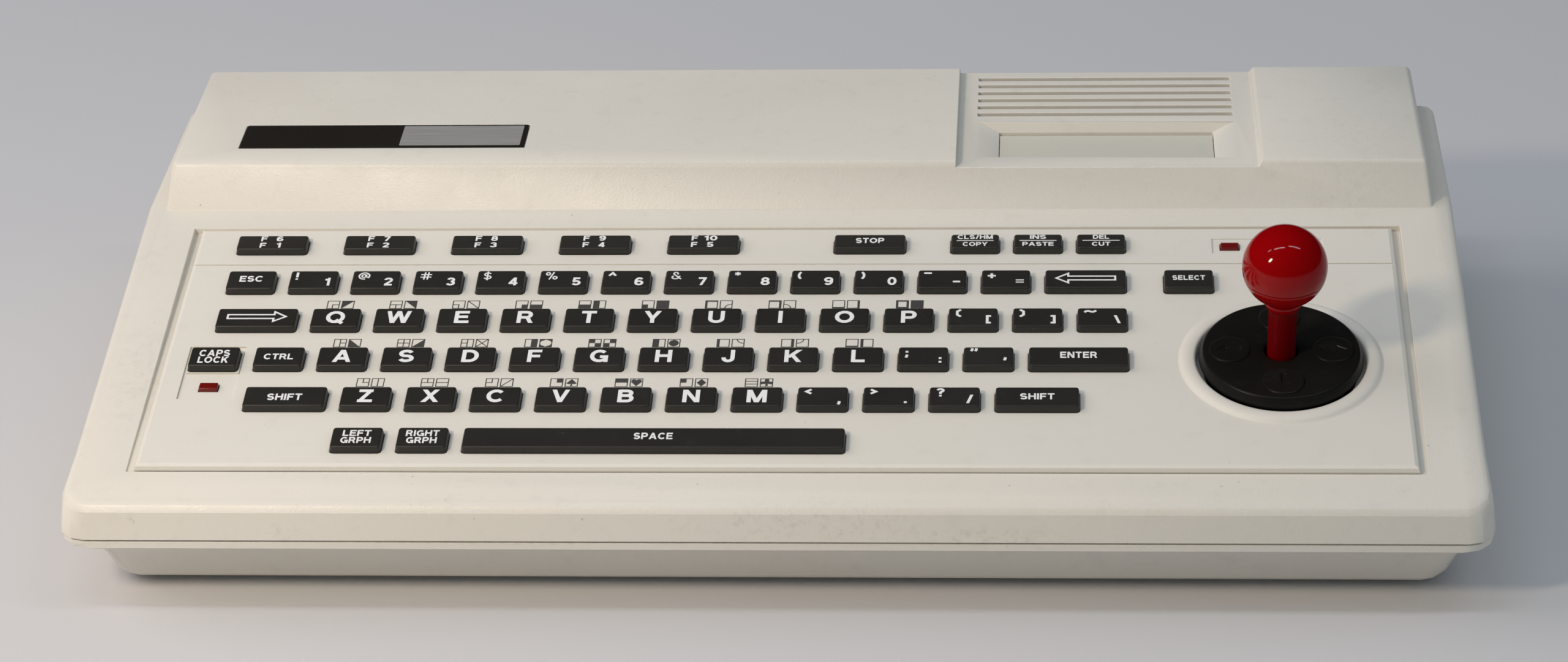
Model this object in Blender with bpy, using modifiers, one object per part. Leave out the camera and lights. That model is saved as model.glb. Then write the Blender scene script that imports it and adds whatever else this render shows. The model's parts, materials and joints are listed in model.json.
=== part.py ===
"""Vintage home computer: a wedge case, a plate of separate keys, a joystick and a cartridge bay.

+X is right, +Y is back and +Z is up. The origin lies under the middle of the case, on the surface
that the feet stand on. Keys, plates and the joystick are placed in the frame of the key plate:
x runs right, v runs up its slope from its rear edge, and h is the height above its face.
"""
import math

import bmesh
import bpy
from mathutils import Matrix, Vector

mm = 0.001

# Clearances
gap = 0.3 * mm
overrun = 1.0 * mm

# Case
deck_width = 404.2 * mm
case_depth = 215.3 * mm
skirt_flare = 2.5 * mm
side_flare = 1.6 * mm
foot_height = 2.5 * mm
tub_height = 18.2 * mm
lip_thickness = 2.8 * mm
seam_gap = 0.6 * mm
skirt_height = 10.4 * mm
skirt_crease_rise = 4.0 * mm
lip_inset = 0.4 * mm
deck_run = 141.8 * mm
deck_rise = 23.2 * mm
bulge_height = 13.6 * mm
bulge_shoulder = 8.2 * mm
bulge_side_lean = 2.1 * mm
bulge_foot_lead = 2.75 * mm
bulge_front_lean = 5.9 * mm
wall = 2.5 * mm
deck_wall = 4.8 * mm
bulge_roof = 4.5 * mm
front_corner_radius = 8.0 * mm
rear_corner_radius = 4.0 * mm
case_edge_radius = 2.4 * mm
bulge_edge_radius = 1.6 * mm
tub_top_inset = 2.9 * mm
tub_side_lean = 7.0 * mm
tub_front_inset = 8.7 * mm
tub_front_lean = 5.9 * mm
tub_rear_inset = 6.0 * mm
tub_rear_lean = 3.0 * mm
tongue_height = 2.4 * mm
tongue_thickness = 1.4 * mm

# Heights that follow from the case sizes
tub_top = foot_height + tub_height
lip_top = tub_top + lip_thickness
skirt_bottom = lip_top + seam_gap
deck_front_height = skirt_bottom + skirt_height
strip_height = deck_front_height + deck_rise
bulge_top = strip_height + bulge_height
deck_slope = math.atan2(deck_rise, deck_run)
case_front = -case_depth / 2
case_rear = case_depth / 2
deck_front = case_front + skirt_flare
ridge = deck_front + deck_run
bulge_foot = ridge - bulge_foot_lead

# Key plate
plate_side_margin = 19.1 * mm
plate_depth = 116.4 * mm
plate_thickness = 2.0 * mm
plate_slope = math.radians(8.465)
plate_rear_setback = 12.0 * mm
plate_edge_radius = 1.5 * mm
groove_width = 2.2 * mm
side_ledge = 6.0 * mm
rear_ledge = 2.4 * mm
front_ledge = 4.6 * mm
engraving_width = 0.5 * mm
engraving_depth = 0.35 * mm
engraving_setback = 18.7 * mm

# Keys
key_pitch = 19.05 * mm
key_width = 14.9 * mm
wide_key_width = 24.4 * mm
enter_width = 29.3 * mm
function_width = 21.95 * mm
space_width = 110.0 * mm
key_depth = 9.5 * mm
key_height = 2.2 * mm
key_travel = 1.8 * mm
key_corner = 1.2 * mm
key_edge = 0.5 * mm
flange_overhang = 1.0 * mm
flange_thickness = 0.8 * mm
plunger_height = 0.4 * mm
key_block_margin = 13.0 * mm
number_row_setback = 34.2 * mm
function_row_setback = 13.9 * mm

# Left edges of the keys, counted in key pitches from the escape key
function_key_shares = (0, 1.743, 3.486, 5.229, 6.972)
stop_share = 9.638
edit_key_shares = (11.5, 12.5, 13.5)
select_share = 14.86
backspace_share = 13
digit_shares = tuple(1 + i for i in range(12))
upper_letter_shares = tuple(1.5 + i for i in range(13))
middle_letter_shares = tuple(1.75 + i for i in range(11))
lower_letter_shares = tuple(2.25 + i for i in range(10))
caps_share = -0.26
control_share = 0.755
enter_share = 12.75
left_shift_share = 0.755
right_shift_share = 12.25
graph_shares = (2.25, 3.25)
space_share = 4.25

# Windows and lamps in the key plate
caps_window_margin = 7.0 * mm
caps_window_width = 16.8 * mm
caps_window_rear = 60.1 * mm
caps_window_depth = 25.1 * mm
window_sink = 0.6 * mm
power_window_margin = 54.9 * mm
power_window_width = 33.4 * mm
power_window_rear = 6.2 * mm
power_window_depth = 7.4 * mm
caps_lamp_margin = 15.6 * mm
caps_lamp_setback = 79.5 * mm
power_lamp_margin = 49.6 * mm
power_lamp_setback = 10.2 * mm
lamp_width = 5.4 * mm
lamp_depth = 2.8 * mm
lamp_height = 0.5 * mm

# Contact mat and keyboard board under the plate
mat_thickness = 0.8 * mm
board_thickness = 1.6 * mm
mat_margin = 1.2 * mm
mat_to_stick = 32.2 * mm
mat_ear_to_stick = 15.2 * mm
mat_ear_setback = 37.5 * mm
plate_boss_radius = 2.5 * mm
rear_boss_setback = 19.2 * mm
rear_boss_x_shares = (-0.92, -0.12, 0.63)
front_boss_setback = 96.1 * mm
front_boss_x_shares = (-0.93, 0.0, 0.52)

# Joystick
stick_margin = 36.8 * mm
stick_setback = 66.9 * mm
disc_radius = 23.9 * mm
disc_bottom = 0.6 * mm
disc_top = 4.0 * mm
disc_chamfer = 1.0 * mm
disc_play = 1.1 * mm
disc_hole_radius = 5.0 * mm
pad_radius = 6.1 * mm
pad_circle = 15.0 * mm
pad_height = 0.5 * mm
ring_outer_radius = 29.2 * mm
ring_height = 1.2 * mm
ring_crown = 3.0 * mm
ring_lip_share = 0.55
ring_brow_share = 0.9
ring_foot_share = 0.2
shaft_radius = 4.15 * mm
hub_wall = 1.95 * mm
hub_floor = 1.5 * mm
shaft_insert = 7.7 * mm
ball_radius = 12.2 * mm
ball_height = 34.0 * mm
ball_socket = 8.6 * mm
collar_radius = 5.6 * mm
collar_length = 2.0 * mm
pivot_depth = 4.5 * mm
gimbal_play = 0.9 * mm
gimbal_wall = 2.0 * mm
gimbal_height = 4.0 * mm
gimbal_pin_radius = 1.3 * mm
hub_pin_radius = 1.0 * mm
post_play = 0.7 * mm
post_thickness = 3.5 * mm
post_width = 7.0 * mm
post_top_below_plate = 1.6 * mm
housing_wall = 2.0 * mm
housing_depth = 14.0 * mm
housing_rim = 1.0 * mm

# Cartridge bay
bay_side_margin = 59.2 * mm
bay_width = 92.5 * mm
bay_right_slope = 1.4 * mm
bay_sink = 2.2 * mm
vent_inset = 6.1 * mm
vent_length = 80.0 * mm
vent_width = 2.3 * mm
vent_pitch = 5.2 * mm
vent_count = 6
vent_rear_setback = 5.1 * mm
funnel_inset = 6.5 * mm
funnel_width = 79.6 * mm
funnel_lead = 11.45 * mm
funnel_depth = 25.4 * mm
funnel_side_slope = 6.4 * mm
funnel_front_slope = 2.0 * mm
funnel_rear_slope = 1.4 * mm
funnel_drop = 3.0 * mm
chute_wall = 1.8 * mm
chute_length = 8.0 * mm
door_thickness = 1.8 * mm
door_pin_radius = 0.8 * mm
door_knuckle_radius = 1.5 * mm
door_side_gap = 0.4 * mm

# Main board and what stands on it
main_board_height = 22.0 * mm
main_board_left_margin = 52.1 * mm
main_board_right_margin = 28.1 * mm
main_board_rear_margin = 10.65 * mm
main_board_lead = 38.91 * mm
standoff_radius = 4.0 * mm
standoff_x_shares = (-0.34, 0.0, 0.44)
standoff_y_shares = (-0.13, 0.36)
chip_length = 38.0 * mm
chip_width = 14.0 * mm
chip_height = 4.0 * mm
chip_x_shares = (-0.30, -0.16, -0.02, 0.12, 0.26, 0.40)
chip_row_setbacks = (-20.3 * mm, 12.0 * mm)
slot_block_length = 69.0 * mm
slot_block_width = 10.0 * mm
slot_block_height = 15.0 * mm
slot_mouth = 3.0 * mm
slot_mouth_length = 60.0 * mm
slot_mouth_depth = 9.0 * mm
shield_length = 62.0 * mm
shield_width = 34.0 * mm
shield_height = 17.0 * mm
ribbon_width = 46.0 * mm
ribbon_thickness = 0.8 * mm
ribbon_margin = 123.0 * mm
ribbon_setback = 24.0 * mm

# Sockets at the rear and on the right side
socket_depth = 9.0 * mm
socket_sink = 0.5 * mm
socket_recess = 3.5 * mm
socket_shell = 1.2 * mm
video_margin = 37.0 * mm
video_size = 20.0 * mm
video_radius = 7.6 * mm
tape_pitch = 53.0 * mm
tape_width = 34.0 * mm
expansion_pitch = 82.0 * mm
expansion_width = 86.0 * mm
edge_socket_height = 12.0 * mm
edge_slot_width = 3.4 * mm
edge_slot_margin = 5.0 * mm
inlet_margin = 24.0 * mm
inlet_size = 16.0 * mm
inlet_radius = 5.2 * mm
port_height = 12.6 * mm
port_width = 30.8 * mm
port_head_room = 3.45 * mm
port_rear_margins = (95.65 * mm, 57.65 * mm)
port_shell_width = 17.4 * mm
port_shell_height = 9.4 * mm
port_shell_wall = 0.8 * mm
port_shell_taper = 1.6 * mm
switch_rear_margin = 22.65 * mm
switch_z = 46.6 * mm
switch_frame_width = 23.0 * mm
switch_frame_height = 15.0 * mm
switch_bezel = 1.4 * mm
switch_bezel_lap = 1.6 * mm
rocker_width = 17.6 * mm
rocker_height = 8.4 * mm
rocker_depth = 6.0 * mm
rocker_play = 0.9 * mm
rocker_proud = 1.2 * mm
rocker_sink = 2.6 * mm
rocker_tilt = math.radians(8)
rocker_pin_radius = 1.0 * mm
switch_depth = 12.0 * mm

# Badge plate, feet and screws
badge_margin = 27.8 * mm
badge_width = 89.6 * mm
badge_lead = 15.95 * mm
badge_depth = 15.7 * mm
badge_sink = 1.0 * mm
badge_thickness = 0.9 * mm
foot_radius = 7.0 * mm
foot_edge = 0.6 * mm
foot_side_margin = 37.1 * mm
foot_front_margin = 35.65 * mm
foot_rear_margin = 29.65 * mm
screw_side_margin = 21.1 * mm
screw_front_margin = 27.65 * mm
screw_rear_margin = 15.65 * mm
screw_radius = 1.5 * mm
screw_head_radius = 3.2 * mm
screw_head_height = 2.0 * mm
screw_head_well = 4.0 * mm
screw_reach = 11.0 * mm
screw_engagement = 6.0 * mm
boss_radius = 4.6 * mm
case_boss_radius = 4.0 * mm

round_sides = 36
ball_sides = 24
small_sides = 10
arc_steps = 10

# Heights below the face of the key plate
plate_under = -plate_thickness
flange_top = plate_under - gap
flange_bottom = flange_top - flange_thickness
plunger_bottom = flange_bottom - plunger_height
mat_top = plunger_bottom - key_travel - gap
mat_bottom = mat_top - mat_thickness
board_top = mat_bottom - gap
board_bottom = board_top - board_thickness

# Places that follow from the sizes above
side_face = deck_width / 2
bulge_top_width = deck_width - 2 * bulge_shoulder
plate_width = deck_width - 2 * plate_side_margin
plate_half = plate_width / 2
plate_rear = ridge - plate_rear_setback
first_key_left = -plate_half + key_block_margin
caps_window_left = -plate_half + caps_window_margin
caps_lamp_x = -plate_half + caps_lamp_margin
power_window_left = plate_half - power_window_margin
power_lamp_x = plate_half - power_lamp_margin
stick_x = plate_half - stick_margin
mat_right = stick_x - mat_to_stick
mat_ear_right = stick_x - mat_ear_to_stick
bay_right = side_face - bay_side_margin
bay_left = bay_right - bay_width
vent_left = bay_left + vent_inset
funnel_left = bay_left + funnel_inset
funnel_front = bulge_foot + funnel_lead
badge_left = -side_face + badge_margin
badge_front = bulge_foot + badge_lead
main_board_left = -side_face + main_board_left_margin
main_board_right = side_face - main_board_right_margin
main_board_rear = case_rear - main_board_rear_margin
video_x = main_board_left + video_margin
tape_x = video_x + tape_pitch
expansion_x = tape_x + expansion_pitch
inlet_x = main_board_right - inlet_margin
ribbon_x = -plate_half + ribbon_margin
ribbon_y = plate_rear - ribbon_setback * math.cos(plate_slope)
main_board_front = ribbon_y - main_board_lead
port_y = tuple(case_rear - margin for margin in port_rear_margins)
switch_y = case_rear - switch_rear_margin
foot_x = side_face - foot_side_margin
foot_front = case_front + foot_front_margin
foot_rear = case_rear - foot_rear_margin
screw_x = side_face - screw_side_margin
screw_front = case_front + screw_front_margin
screw_rear = case_rear - screw_rear_margin
hub_radius = shaft_radius + gap + hub_wall
gimbal_inner = hub_radius + gimbal_play
gimbal_outer = gimbal_inner + gimbal_wall
housing_inner = disc_radius + disc_play + housing_rim
housing_outer = housing_inner + housing_wall
bay_floor = bulge_top - bay_sink
throat_left = funnel_left + funnel_side_slope
throat_right = funnel_left + funnel_width - funnel_side_slope
throat_front = funnel_front + funnel_front_slope
throat_rear = funnel_front + funnel_depth - funnel_rear_slope
throat_top = bay_floor - funnel_drop
door_top = throat_top - gap
hinge_y = throat_rear - door_side_gap - door_knuckle_radius
hinge_z = door_top - door_knuckle_radius
socket_bottom = main_board_height + board_thickness + gap


def deck_height(y):
    """Height of the deck's plane at y."""
    return deck_front_height + (y - deck_front) * deck_rise / deck_run


port_z = deck_height(port_y[0] - port_width / 2) - deck_wall - port_height / 2 - port_head_room


def make_material(name, colour, roughness, metallic=0.0):
    """A plain surface finish."""
    material = bpy.data.materials.new(name)
    material.use_nodes = True
    shader = material.node_tree.nodes["Principled BSDF"]
    shader.inputs["Base Color"].default_value = (*colour, 1.0)
    shader.inputs["Roughness"].default_value = roughness
    shader.inputs["Metallic"].default_value = metallic
    return material


for old in list(bpy.data.objects):
    bpy.data.objects.remove(old)

parts = bpy.data.collections.new("home_computer")
cutters = bpy.data.collections.new("cutters")
bpy.context.scene.collection.children.link(parts)
bpy.context.scene.collection.children.link(cutters)

case_plastic = make_material("case_plastic", (0.66, 0.62, 0.54), 0.55)
plate_plastic = make_material("plate_plastic", (0.66, 0.62, 0.54), 0.5)
key_plastic = make_material("key_plastic", (0.04, 0.039, 0.036), 0.5)
black_plastic = make_material("black_plastic", (0.02, 0.02, 0.02), 0.45)
ball_plastic = make_material("ball_plastic", (0.32, 0.004, 0.01), 0.12)
lamp_plastic = make_material("lamp_plastic", (0.20, 0.01, 0.008), 0.25)
board_laminate = make_material("board_laminate", (0.03, 0.14, 0.06), 0.5)
rubber = make_material("rubber", (0.03, 0.03, 0.03), 0.85)
bright_metal = make_material("bright_metal", (0.62, 0.61, 0.58), 0.35, 1.0)
badge_metal = make_material("badge_metal", (0.35, 0.35, 0.34), 0.4, 0.6)
ribbon_plastic = make_material("ribbon_plastic", (0.45, 0.45, 0.43), 0.6)

plate_frame = bpy.data.objects.new("plate_frame", None)
cutters.objects.link(plate_frame)
plate_frame.location = (0, plate_rear, deck_height(plate_rear))
plate_frame.rotation_euler = (plate_slope, 0, 0)


def add_object(name, mesh, material=None, location=(0, 0, 0), parent=None):
    """Link a mesh as a part, or as a hidden cutter when it has no material."""
    thing = bpy.data.objects.new(name, mesh)
    thing.location = location
    thing.parent = parent
    if material:
        mesh.materials.append(material)
        parts.objects.link(thing)
    else:
        thing.hide_render = True
        thing.display_type = "WIRE"
        cutters.objects.link(thing)
    return thing


def mesh_from(bm, name):
    """Turn a bmesh into a mesh with its faces pointing out."""
    bmesh.ops.recalc_face_normals(bm, faces=bm.faces)
    mesh = bpy.data.meshes.new(name)
    bm.to_mesh(mesh)
    bm.free()
    return mesh


def add_box(bm, low, high):
    """Add a box between two corners and give its vertices."""
    low, high = Vector(low), Vector(high)
    place = Matrix.Translation((low + high) / 2) @ Matrix.Diagonal((*(high - low), 1))
    return bmesh.ops.create_cube(bm, size=1, matrix=place)["verts"]


def add_rod(bm, start, end, radius, sides=small_sides, end_radius=None):
    """Add a closed cylinder or cone from start to end."""
    start, end = Vector(start), Vector(end)
    along = end - start
    turn = along.to_track_quat("Z", "Y").to_matrix().to_4x4()
    place = Matrix.Translation((start + end) / 2) @ turn
    last = radius if end_radius is None else end_radius
    bmesh.ops.create_cone(bm, cap_ends=True, segments=sides, radius1=radius, radius2=last,
                          depth=along.length, matrix=place)


def boxes(name, corner_pairs, material=None, parent=None, location=(0, 0, 0)):
    """One object made of boxes that don't touch."""
    bm = bmesh.new()
    for low, high in corner_pairs:
        add_box(bm, low, high)
    return add_object(name, mesh_from(bm, name), material, location, parent)


def rods(name, ends, radius, material=None, parent=None, sides=small_sides, location=(0, 0, 0)):
    """One object made of cylinders that don't touch."""
    bm = bmesh.new()
    for start, end in ends:
        add_rod(bm, start, end, radius, sides)
    return add_object(name, mesh_from(bm, name), material, location, parent)


def round_edges(bm, test, width, segments):
    """Round the edges whose two ends pass the test."""
    chosen = [e for e in bm.edges if test(e.verts[0].co, e.verts[1].co)]
    bmesh.ops.bevel(bm, geom=chosen, offset=width, segments=segments, affect="EDGES",
                    profile=0.5, clamp_overlap=True)


def slice_off(bm, point, normal):
    """Cut away everything in front of a plane and close the cut."""
    everything = bm.verts[:] + bm.edges[:] + bm.faces[:]
    cut = bmesh.ops.bisect_plane(bm, geom=everything, plane_co=point, plane_no=normal, clear_outer=True)
    rim = [e for e in cut["geom_cut"] if isinstance(e, bmesh.types.BMEdge)]
    bmesh.ops.edgeloop_fill(bm, edges=rim)


def turned(name, profile, material=None, sides=round_sides, location=(0, 0, 0), parent=None):
    """Turn a profile of (radius, height) points about the local Z axis."""
    mesh = bpy.data.meshes.new(name)
    count = len(profile)
    closed = profile[0][0] > 0
    links = [(i, i + 1) for i in range(count - 1)] + ([(count - 1, 0)] if closed else [])
    mesh.from_pydata([(r, 0, h) for r, h in profile], links, [])
    thing = add_object(name, mesh, material, location, parent)
    screw = thing.modifiers.new("turn", "SCREW")
    screw.steps = screw.render_steps = sides
    screw.use_merge_vertices = True
    screw.merge_threshold = 0.00001
    screw.use_normal_calculate = False
    return thing


def flat_solid(name, outline, low, high, material=None, parent=None, location=(0, 0, 0)):
    """A flat outline of (x, y) points as a filled curve, made a mesh from low to high."""
    curve = bpy.data.curves.new(name, "CURVE")
    curve.dimensions = "2D"
    curve.fill_mode = "BOTH"
    curve.extrude = (high - low) / 2
    spline = curve.splines.new("POLY")
    spline.points.add(len(outline) - 1)
    for point, (x, y) in zip(spline.points, outline):
        point.co = (x, y, 0, 1)
    spline.use_cyclic_u = True
    drawn = bpy.data.objects.new(name, curve)
    bpy.context.scene.collection.objects.link(drawn)
    graph = bpy.context.evaluated_depsgraph_get()
    mesh = bpy.data.meshes.new_from_object(drawn.evaluated_get(graph))
    bpy.data.objects.remove(drawn)
    mesh.transform(Matrix.Translation((0, 0, (low + high) / 2)))
    bm = bmesh.new()
    bm.from_mesh(mesh)
    bmesh.ops.remove_doubles(bm, verts=bm.verts, dist=0.000001)
    bmesh.ops.recalc_face_normals(bm, faces=bm.faces)
    bm.to_mesh(mesh)
    bm.free()
    mesh.materials.clear()
    return add_object(name, mesh, material, location, parent)


def combine(target, other, operation):
    """Cut, join or trim a part with another object."""
    change = target.modifiers.new(other.name, "BOOLEAN")
    change.operation = operation
    change.object = other
    change.solver = "EXACT"


def cut(target, *others):
    for other in others:
        combine(target, other, "DIFFERENCE")


def join(target, *others):
    for other in others:
        combine(target, other, "UNION")


def arc(centre, radius, start, end, steps):
    """Points on an arc, with the angles in degrees."""
    return [(centre[0] + radius * math.cos(math.radians(start + (end - start) * i / steps)),
             centre[1] + radius * math.sin(math.radians(start + (end - start) * i / steps)))
            for i in range(steps + 1)]


def key_left(share):
    """Left edge of a key that stands a number of pitches from the escape key."""
    return first_key_left + share * key_pitch


def row_front(row):
    """Front edge, on the plate, of a letter row counted down from the number row."""
    return -number_row_setback - row * key_pitch


# Every key moulding: name, front edge on the plate, and the left edge and width of each cap on it
function_front = -function_row_setback
key_mouldings = [
    ("key_f%d" % (i + 1), function_front, [(key_left(share), function_width)])
    for i, share in enumerate(function_key_shares)
]
key_mouldings += [
    ("key_stop", function_front, [(key_left(stop_share), function_width)]),
    ("key_clear", function_front, [(key_left(edit_key_shares[0]), key_width)]),
    ("key_insert", function_front, [(key_left(edit_key_shares[1]), key_width)]),
    ("key_delete", function_front, [(key_left(edit_key_shares[2]), key_width)]),
    ("key_escape", row_front(0), [(key_left(0), key_width)]),
    ("keys_digit_row", row_front(0), [(key_left(share), key_width) for share in digit_shares]),
    ("key_backspace", row_front(0), [(key_left(backspace_share), wide_key_width)]),
    ("key_select", row_front(0), [(key_left(select_share), key_width)]),
    ("key_tab", row_front(1), [(key_left(0), wide_key_width)]),
    ("keys_upper_row", row_front(1), [(key_left(share), key_width) for share in upper_letter_shares]),
    ("key_caps_lock", row_front(2), [(key_left(caps_share), key_width)]),
    ("key_control", row_front(2), [(key_left(control_share), key_width)]),
    ("keys_middle_row", row_front(2), [(key_left(share), key_width) for share in middle_letter_shares]),
    ("key_enter", row_front(2), [(key_left(enter_share), enter_width)]),
    ("key_shift_left", row_front(3), [(key_left(left_shift_share), wide_key_width)]),
    ("keys_lower_row", row_front(3), [(key_left(share), key_width) for share in lower_letter_shares]),
    ("key_shift_right", row_front(3), [(key_left(right_shift_share), wide_key_width)]),
    ("key_graph_left", row_front(4), [(key_left(graph_shares[0]), key_width)]),
    ("key_graph_right", row_front(4), [(key_left(graph_shares[1]), key_width)]),
    ("key_space", row_front(4), [(key_left(space_share), space_width)]),
]


def key_moulding(name, front, caps, height, material, corner, edge):
    """Caps that stand through the plate on one flange, which lies under it and holds them in."""
    left = caps[0][0]
    right = caps[-1][0] + caps[-1][1]
    middle = (left + right) / 2
    low = -key_depth_of(name) / 2
    high = -low
    centre = front + high
    bm = bmesh.new()
    add_box(bm, (left - middle - flange_overhang, low - flange_overhang, flange_bottom),
            (right - middle + flange_overhang, high + flange_overhang, flange_top))
    sides = [(x - middle, 0, 0) for cap in caps for x in (cap[0], cap[0] + cap[1])]
    for point in sides:
        bmesh.ops.bisect_plane(bm, geom=bm.verts[:] + bm.edges[:] + bm.faces[:],
                               plane_co=point, plane_no=(1, 0, 0))
    for y in (low, high):
        bmesh.ops.bisect_plane(bm, geom=bm.verts[:] + bm.edges[:] + bm.faces[:],
                               plane_co=(0, y, 0), plane_no=(0, 1, 0))

    def under_cap(face):
        at = face.calc_center_median()
        inside = any(cap[0] < at.x + middle < cap[0] + cap[1] for cap in caps)
        return inside and low < at.y < high

    tops = [f for f in bm.faces if f.normal.z > 0.5 and under_cap(f)]
    bottoms = [f for f in bm.faces if f.normal.z < -0.5 and under_cap(f)]
    raised = bmesh.ops.extrude_discrete_faces(bm, faces=tops)["faces"]
    for face in raised:
        bmesh.ops.translate(bm, verts=face.verts, vec=(0, 0, height - flange_top))
    lowered = bmesh.ops.extrude_discrete_faces(bm, faces=bottoms)["faces"]
    for face in lowered:
        bmesh.ops.translate(bm, verts=face.verts, vec=(0, 0, -plunger_height))

    def upright(a, b):
        return abs(a.z - b.z) > height and max(a.z, b.z) > 0

    def at_top(a, b):
        return min(a.z, b.z) > height - edge / 2

    round_edges(bm, upright, corner, 1)
    round_edges(bm, at_top, edge, 1)
    bmesh.ops.dissolve_limit(bm, angle_limit=math.radians(0.5), verts=bm.verts, edges=bm.edges)
    return add_object(name, mesh_from(bm, name), material, (middle, centre, 0), plate_frame)


def key_depth_of(name):
    """Lamps share the keys' moulding, but are shallower."""
    return lamp_depth if name.endswith("lens") else key_depth


# Keys and lamp lenses
for key_name, key_front, key_caps in key_mouldings:
    key_moulding(key_name, key_front, key_caps, key_height, key_plastic, key_corner, key_edge)

lamp_places = [
    ("caps_lens", caps_lamp_x, -caps_lamp_setback),
    ("power_lens", power_lamp_x, -power_lamp_setback),
]
for lens_name, lens_x, lens_v in lamp_places:
    key_moulding(lens_name, lens_v - lamp_depth / 2, [(lens_x - lamp_width / 2, lamp_width)],
                 lamp_height, lamp_plastic, lamp_height, lamp_height / 2)


def plate_hole(x, width, front, depth):
    """Corners of a hole through the key plate with a running gap all round."""
    return ((x - gap, front - gap, plate_under - overrun), (x + width + gap, front + depth + gap, overrun))


# Key plate
plate_bm = bmesh.new()
add_box(plate_bm, (-plate_half, -plate_depth, plate_under), (plate_half, 0, 0))
round_edges(plate_bm, lambda a, b: min(a.z, b.z) > plate_under / 2, plate_edge_radius, 2)
key_plate = add_object("key_plate", mesh_from(plate_bm, "key_plate"), plate_plastic, parent=plate_frame)

ring_inner_radius = disc_radius + disc_play
ring_profile = [(ring_outer_radius, plate_under / 2), (ring_inner_radius - overrun, plate_under / 2),
                (ring_inner_radius - overrun, ring_height * ring_lip_share),
                (ring_inner_radius + ring_crown / 3, ring_height),
                (ring_outer_radius - ring_crown / 2, ring_height * ring_brow_share),
                (ring_outer_radius, ring_height * ring_foot_share)]
stick_spot = (stick_x, -stick_setback, 0)
ring_bead = turned("ring_bead", ring_profile, sides=round_sides, location=stick_spot, parent=plate_frame)

boss_spots = [(share * plate_half, -rear_boss_setback) for share in rear_boss_x_shares]
boss_spots += [(share * plate_half, -front_boss_setback) for share in front_boss_x_shares]
plate_bosses = rods("plate_bosses",
                    [((x, v, board_top + gap), (x, v, plate_under / 2)) for x, v in boss_spots],
                    plate_boss_radius, parent=plate_frame)

key_holes = boxes("key_holes", [plate_hole(x, width, front, key_depth)
                                for _, front, caps in key_mouldings for x, width in caps],
                  parent=plate_frame)
lens_holes = boxes("lens_holes", [plate_hole(x - lamp_width / 2, lamp_width, v - lamp_depth / 2, lamp_depth)
                                  for _, x, v in lamp_places], parent=plate_frame)
windows = boxes("windows", [
    ((caps_window_left, -caps_window_rear - caps_window_depth, -window_sink),
     (caps_window_left + caps_window_width, -caps_window_rear, overrun)),
    ((power_window_left, -power_window_rear - power_window_depth, -engraving_depth),
     (power_window_left + power_window_width, -power_window_rear, overrun)),
    ((-plate_half - overrun, -engraving_setback - engraving_width, -engraving_depth),
     (plate_half + overrun, -engraving_setback, overrun)),
], parent=plate_frame)
stick_hole = rods("stick_hole", [((stick_x, -stick_setback, plate_under - overrun),
                                  (stick_x, -stick_setback, ring_height + overrun))],
                  ring_inner_radius, parent=plate_frame, sides=round_sides)
cut(key_plate, key_holes, windows, lens_holes)
join(key_plate, plate_bosses, ring_bead)
cut(key_plate, stick_hole)

# Contact mat and keyboard board
mat_left = -(plate_half - side_ledge - mat_margin)
mat_front = -(plate_depth - front_ledge - mat_margin)
mat_rear = -(rear_ledge + mat_margin)
mat_outline = [(mat_left, mat_front), (mat_right, mat_front), (mat_right, -mat_ear_setback),
               (mat_ear_right, -mat_ear_setback), (mat_ear_right, mat_rear), (mat_left, mat_rear)]
contact_mat = flat_solid("contact_mat", mat_outline, mat_bottom, mat_top, rubber, plate_frame)
mat_holes = rods("mat_holes", [((x, v, mat_bottom - overrun), (x, v, mat_top + overrun))
                               for x, v in boss_spots],
                 plate_boss_radius + gap, parent=plate_frame)
cut(contact_mat, mat_holes)
flat_solid("keyboard_board", mat_outline, board_bottom, board_top, board_laminate, plate_frame)

# Joystick: disc with its hub, shaft, ball, gimbal ring and housing, all about the pivot
pivot_spot = (stick_x, -stick_setback, -pivot_depth)
hub_bottom = pivot_depth - shaft_insert - gap - hub_floor
bore_radius = shaft_radius + gap


def from_pivot(h):
    """Height above the pivot of a height above the plate's face."""
    return h + pivot_depth


cursor_disc = turned("cursor_disc", [
    (0, hub_bottom + hub_floor),
    (bore_radius, hub_bottom + hub_floor),
    (bore_radius, from_pivot(disc_bottom)),
    (disc_hole_radius, from_pivot(disc_top)),
    (disc_radius - disc_chamfer, from_pivot(disc_top)),
    (disc_radius, from_pivot(disc_top - disc_chamfer)),
    (disc_radius, from_pivot(disc_bottom + gap)),
    (disc_radius - gap, from_pivot(disc_bottom)),
    (hub_radius, from_pivot(disc_bottom)),
    (hub_radius, hub_bottom),
    (0, hub_bottom),
], black_plastic, round_sides, pivot_spot, plate_frame)
hub_pins = rods("hub_pins", [((0, side * (hub_radius - hub_wall / 2), 0),
                              (0, side * (gimbal_outer - gap), 0)) for side in (-1, 1)],
                hub_pin_radius, parent=plate_frame, location=pivot_spot)
pads = rods("pads", [((pad_circle * math.cos(turn), pad_circle * math.sin(turn),
                       from_pivot(disc_top - disc_chamfer)),
                      (pad_circle * math.cos(turn), pad_circle * math.sin(turn),
                       from_pivot(disc_top + pad_height)))
                     for turn in (0, math.pi / 2, math.pi, 3 * math.pi / 2)],
            pad_radius, parent=plate_frame, sides=2 * small_sides, location=pivot_spot)
join(cursor_disc, hub_pins, pads)

shaft_top = from_pivot(ball_height) - ball_radius - collar_length + ball_socket - gap
turned("joystick_shaft", [(0, shaft_top), (shaft_radius, shaft_top),
                          (shaft_radius, pivot_depth - shaft_insert), (0, pivot_depth - shaft_insert)],
       ball_plastic, ball_sides, pivot_spot, plate_frame)

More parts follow.
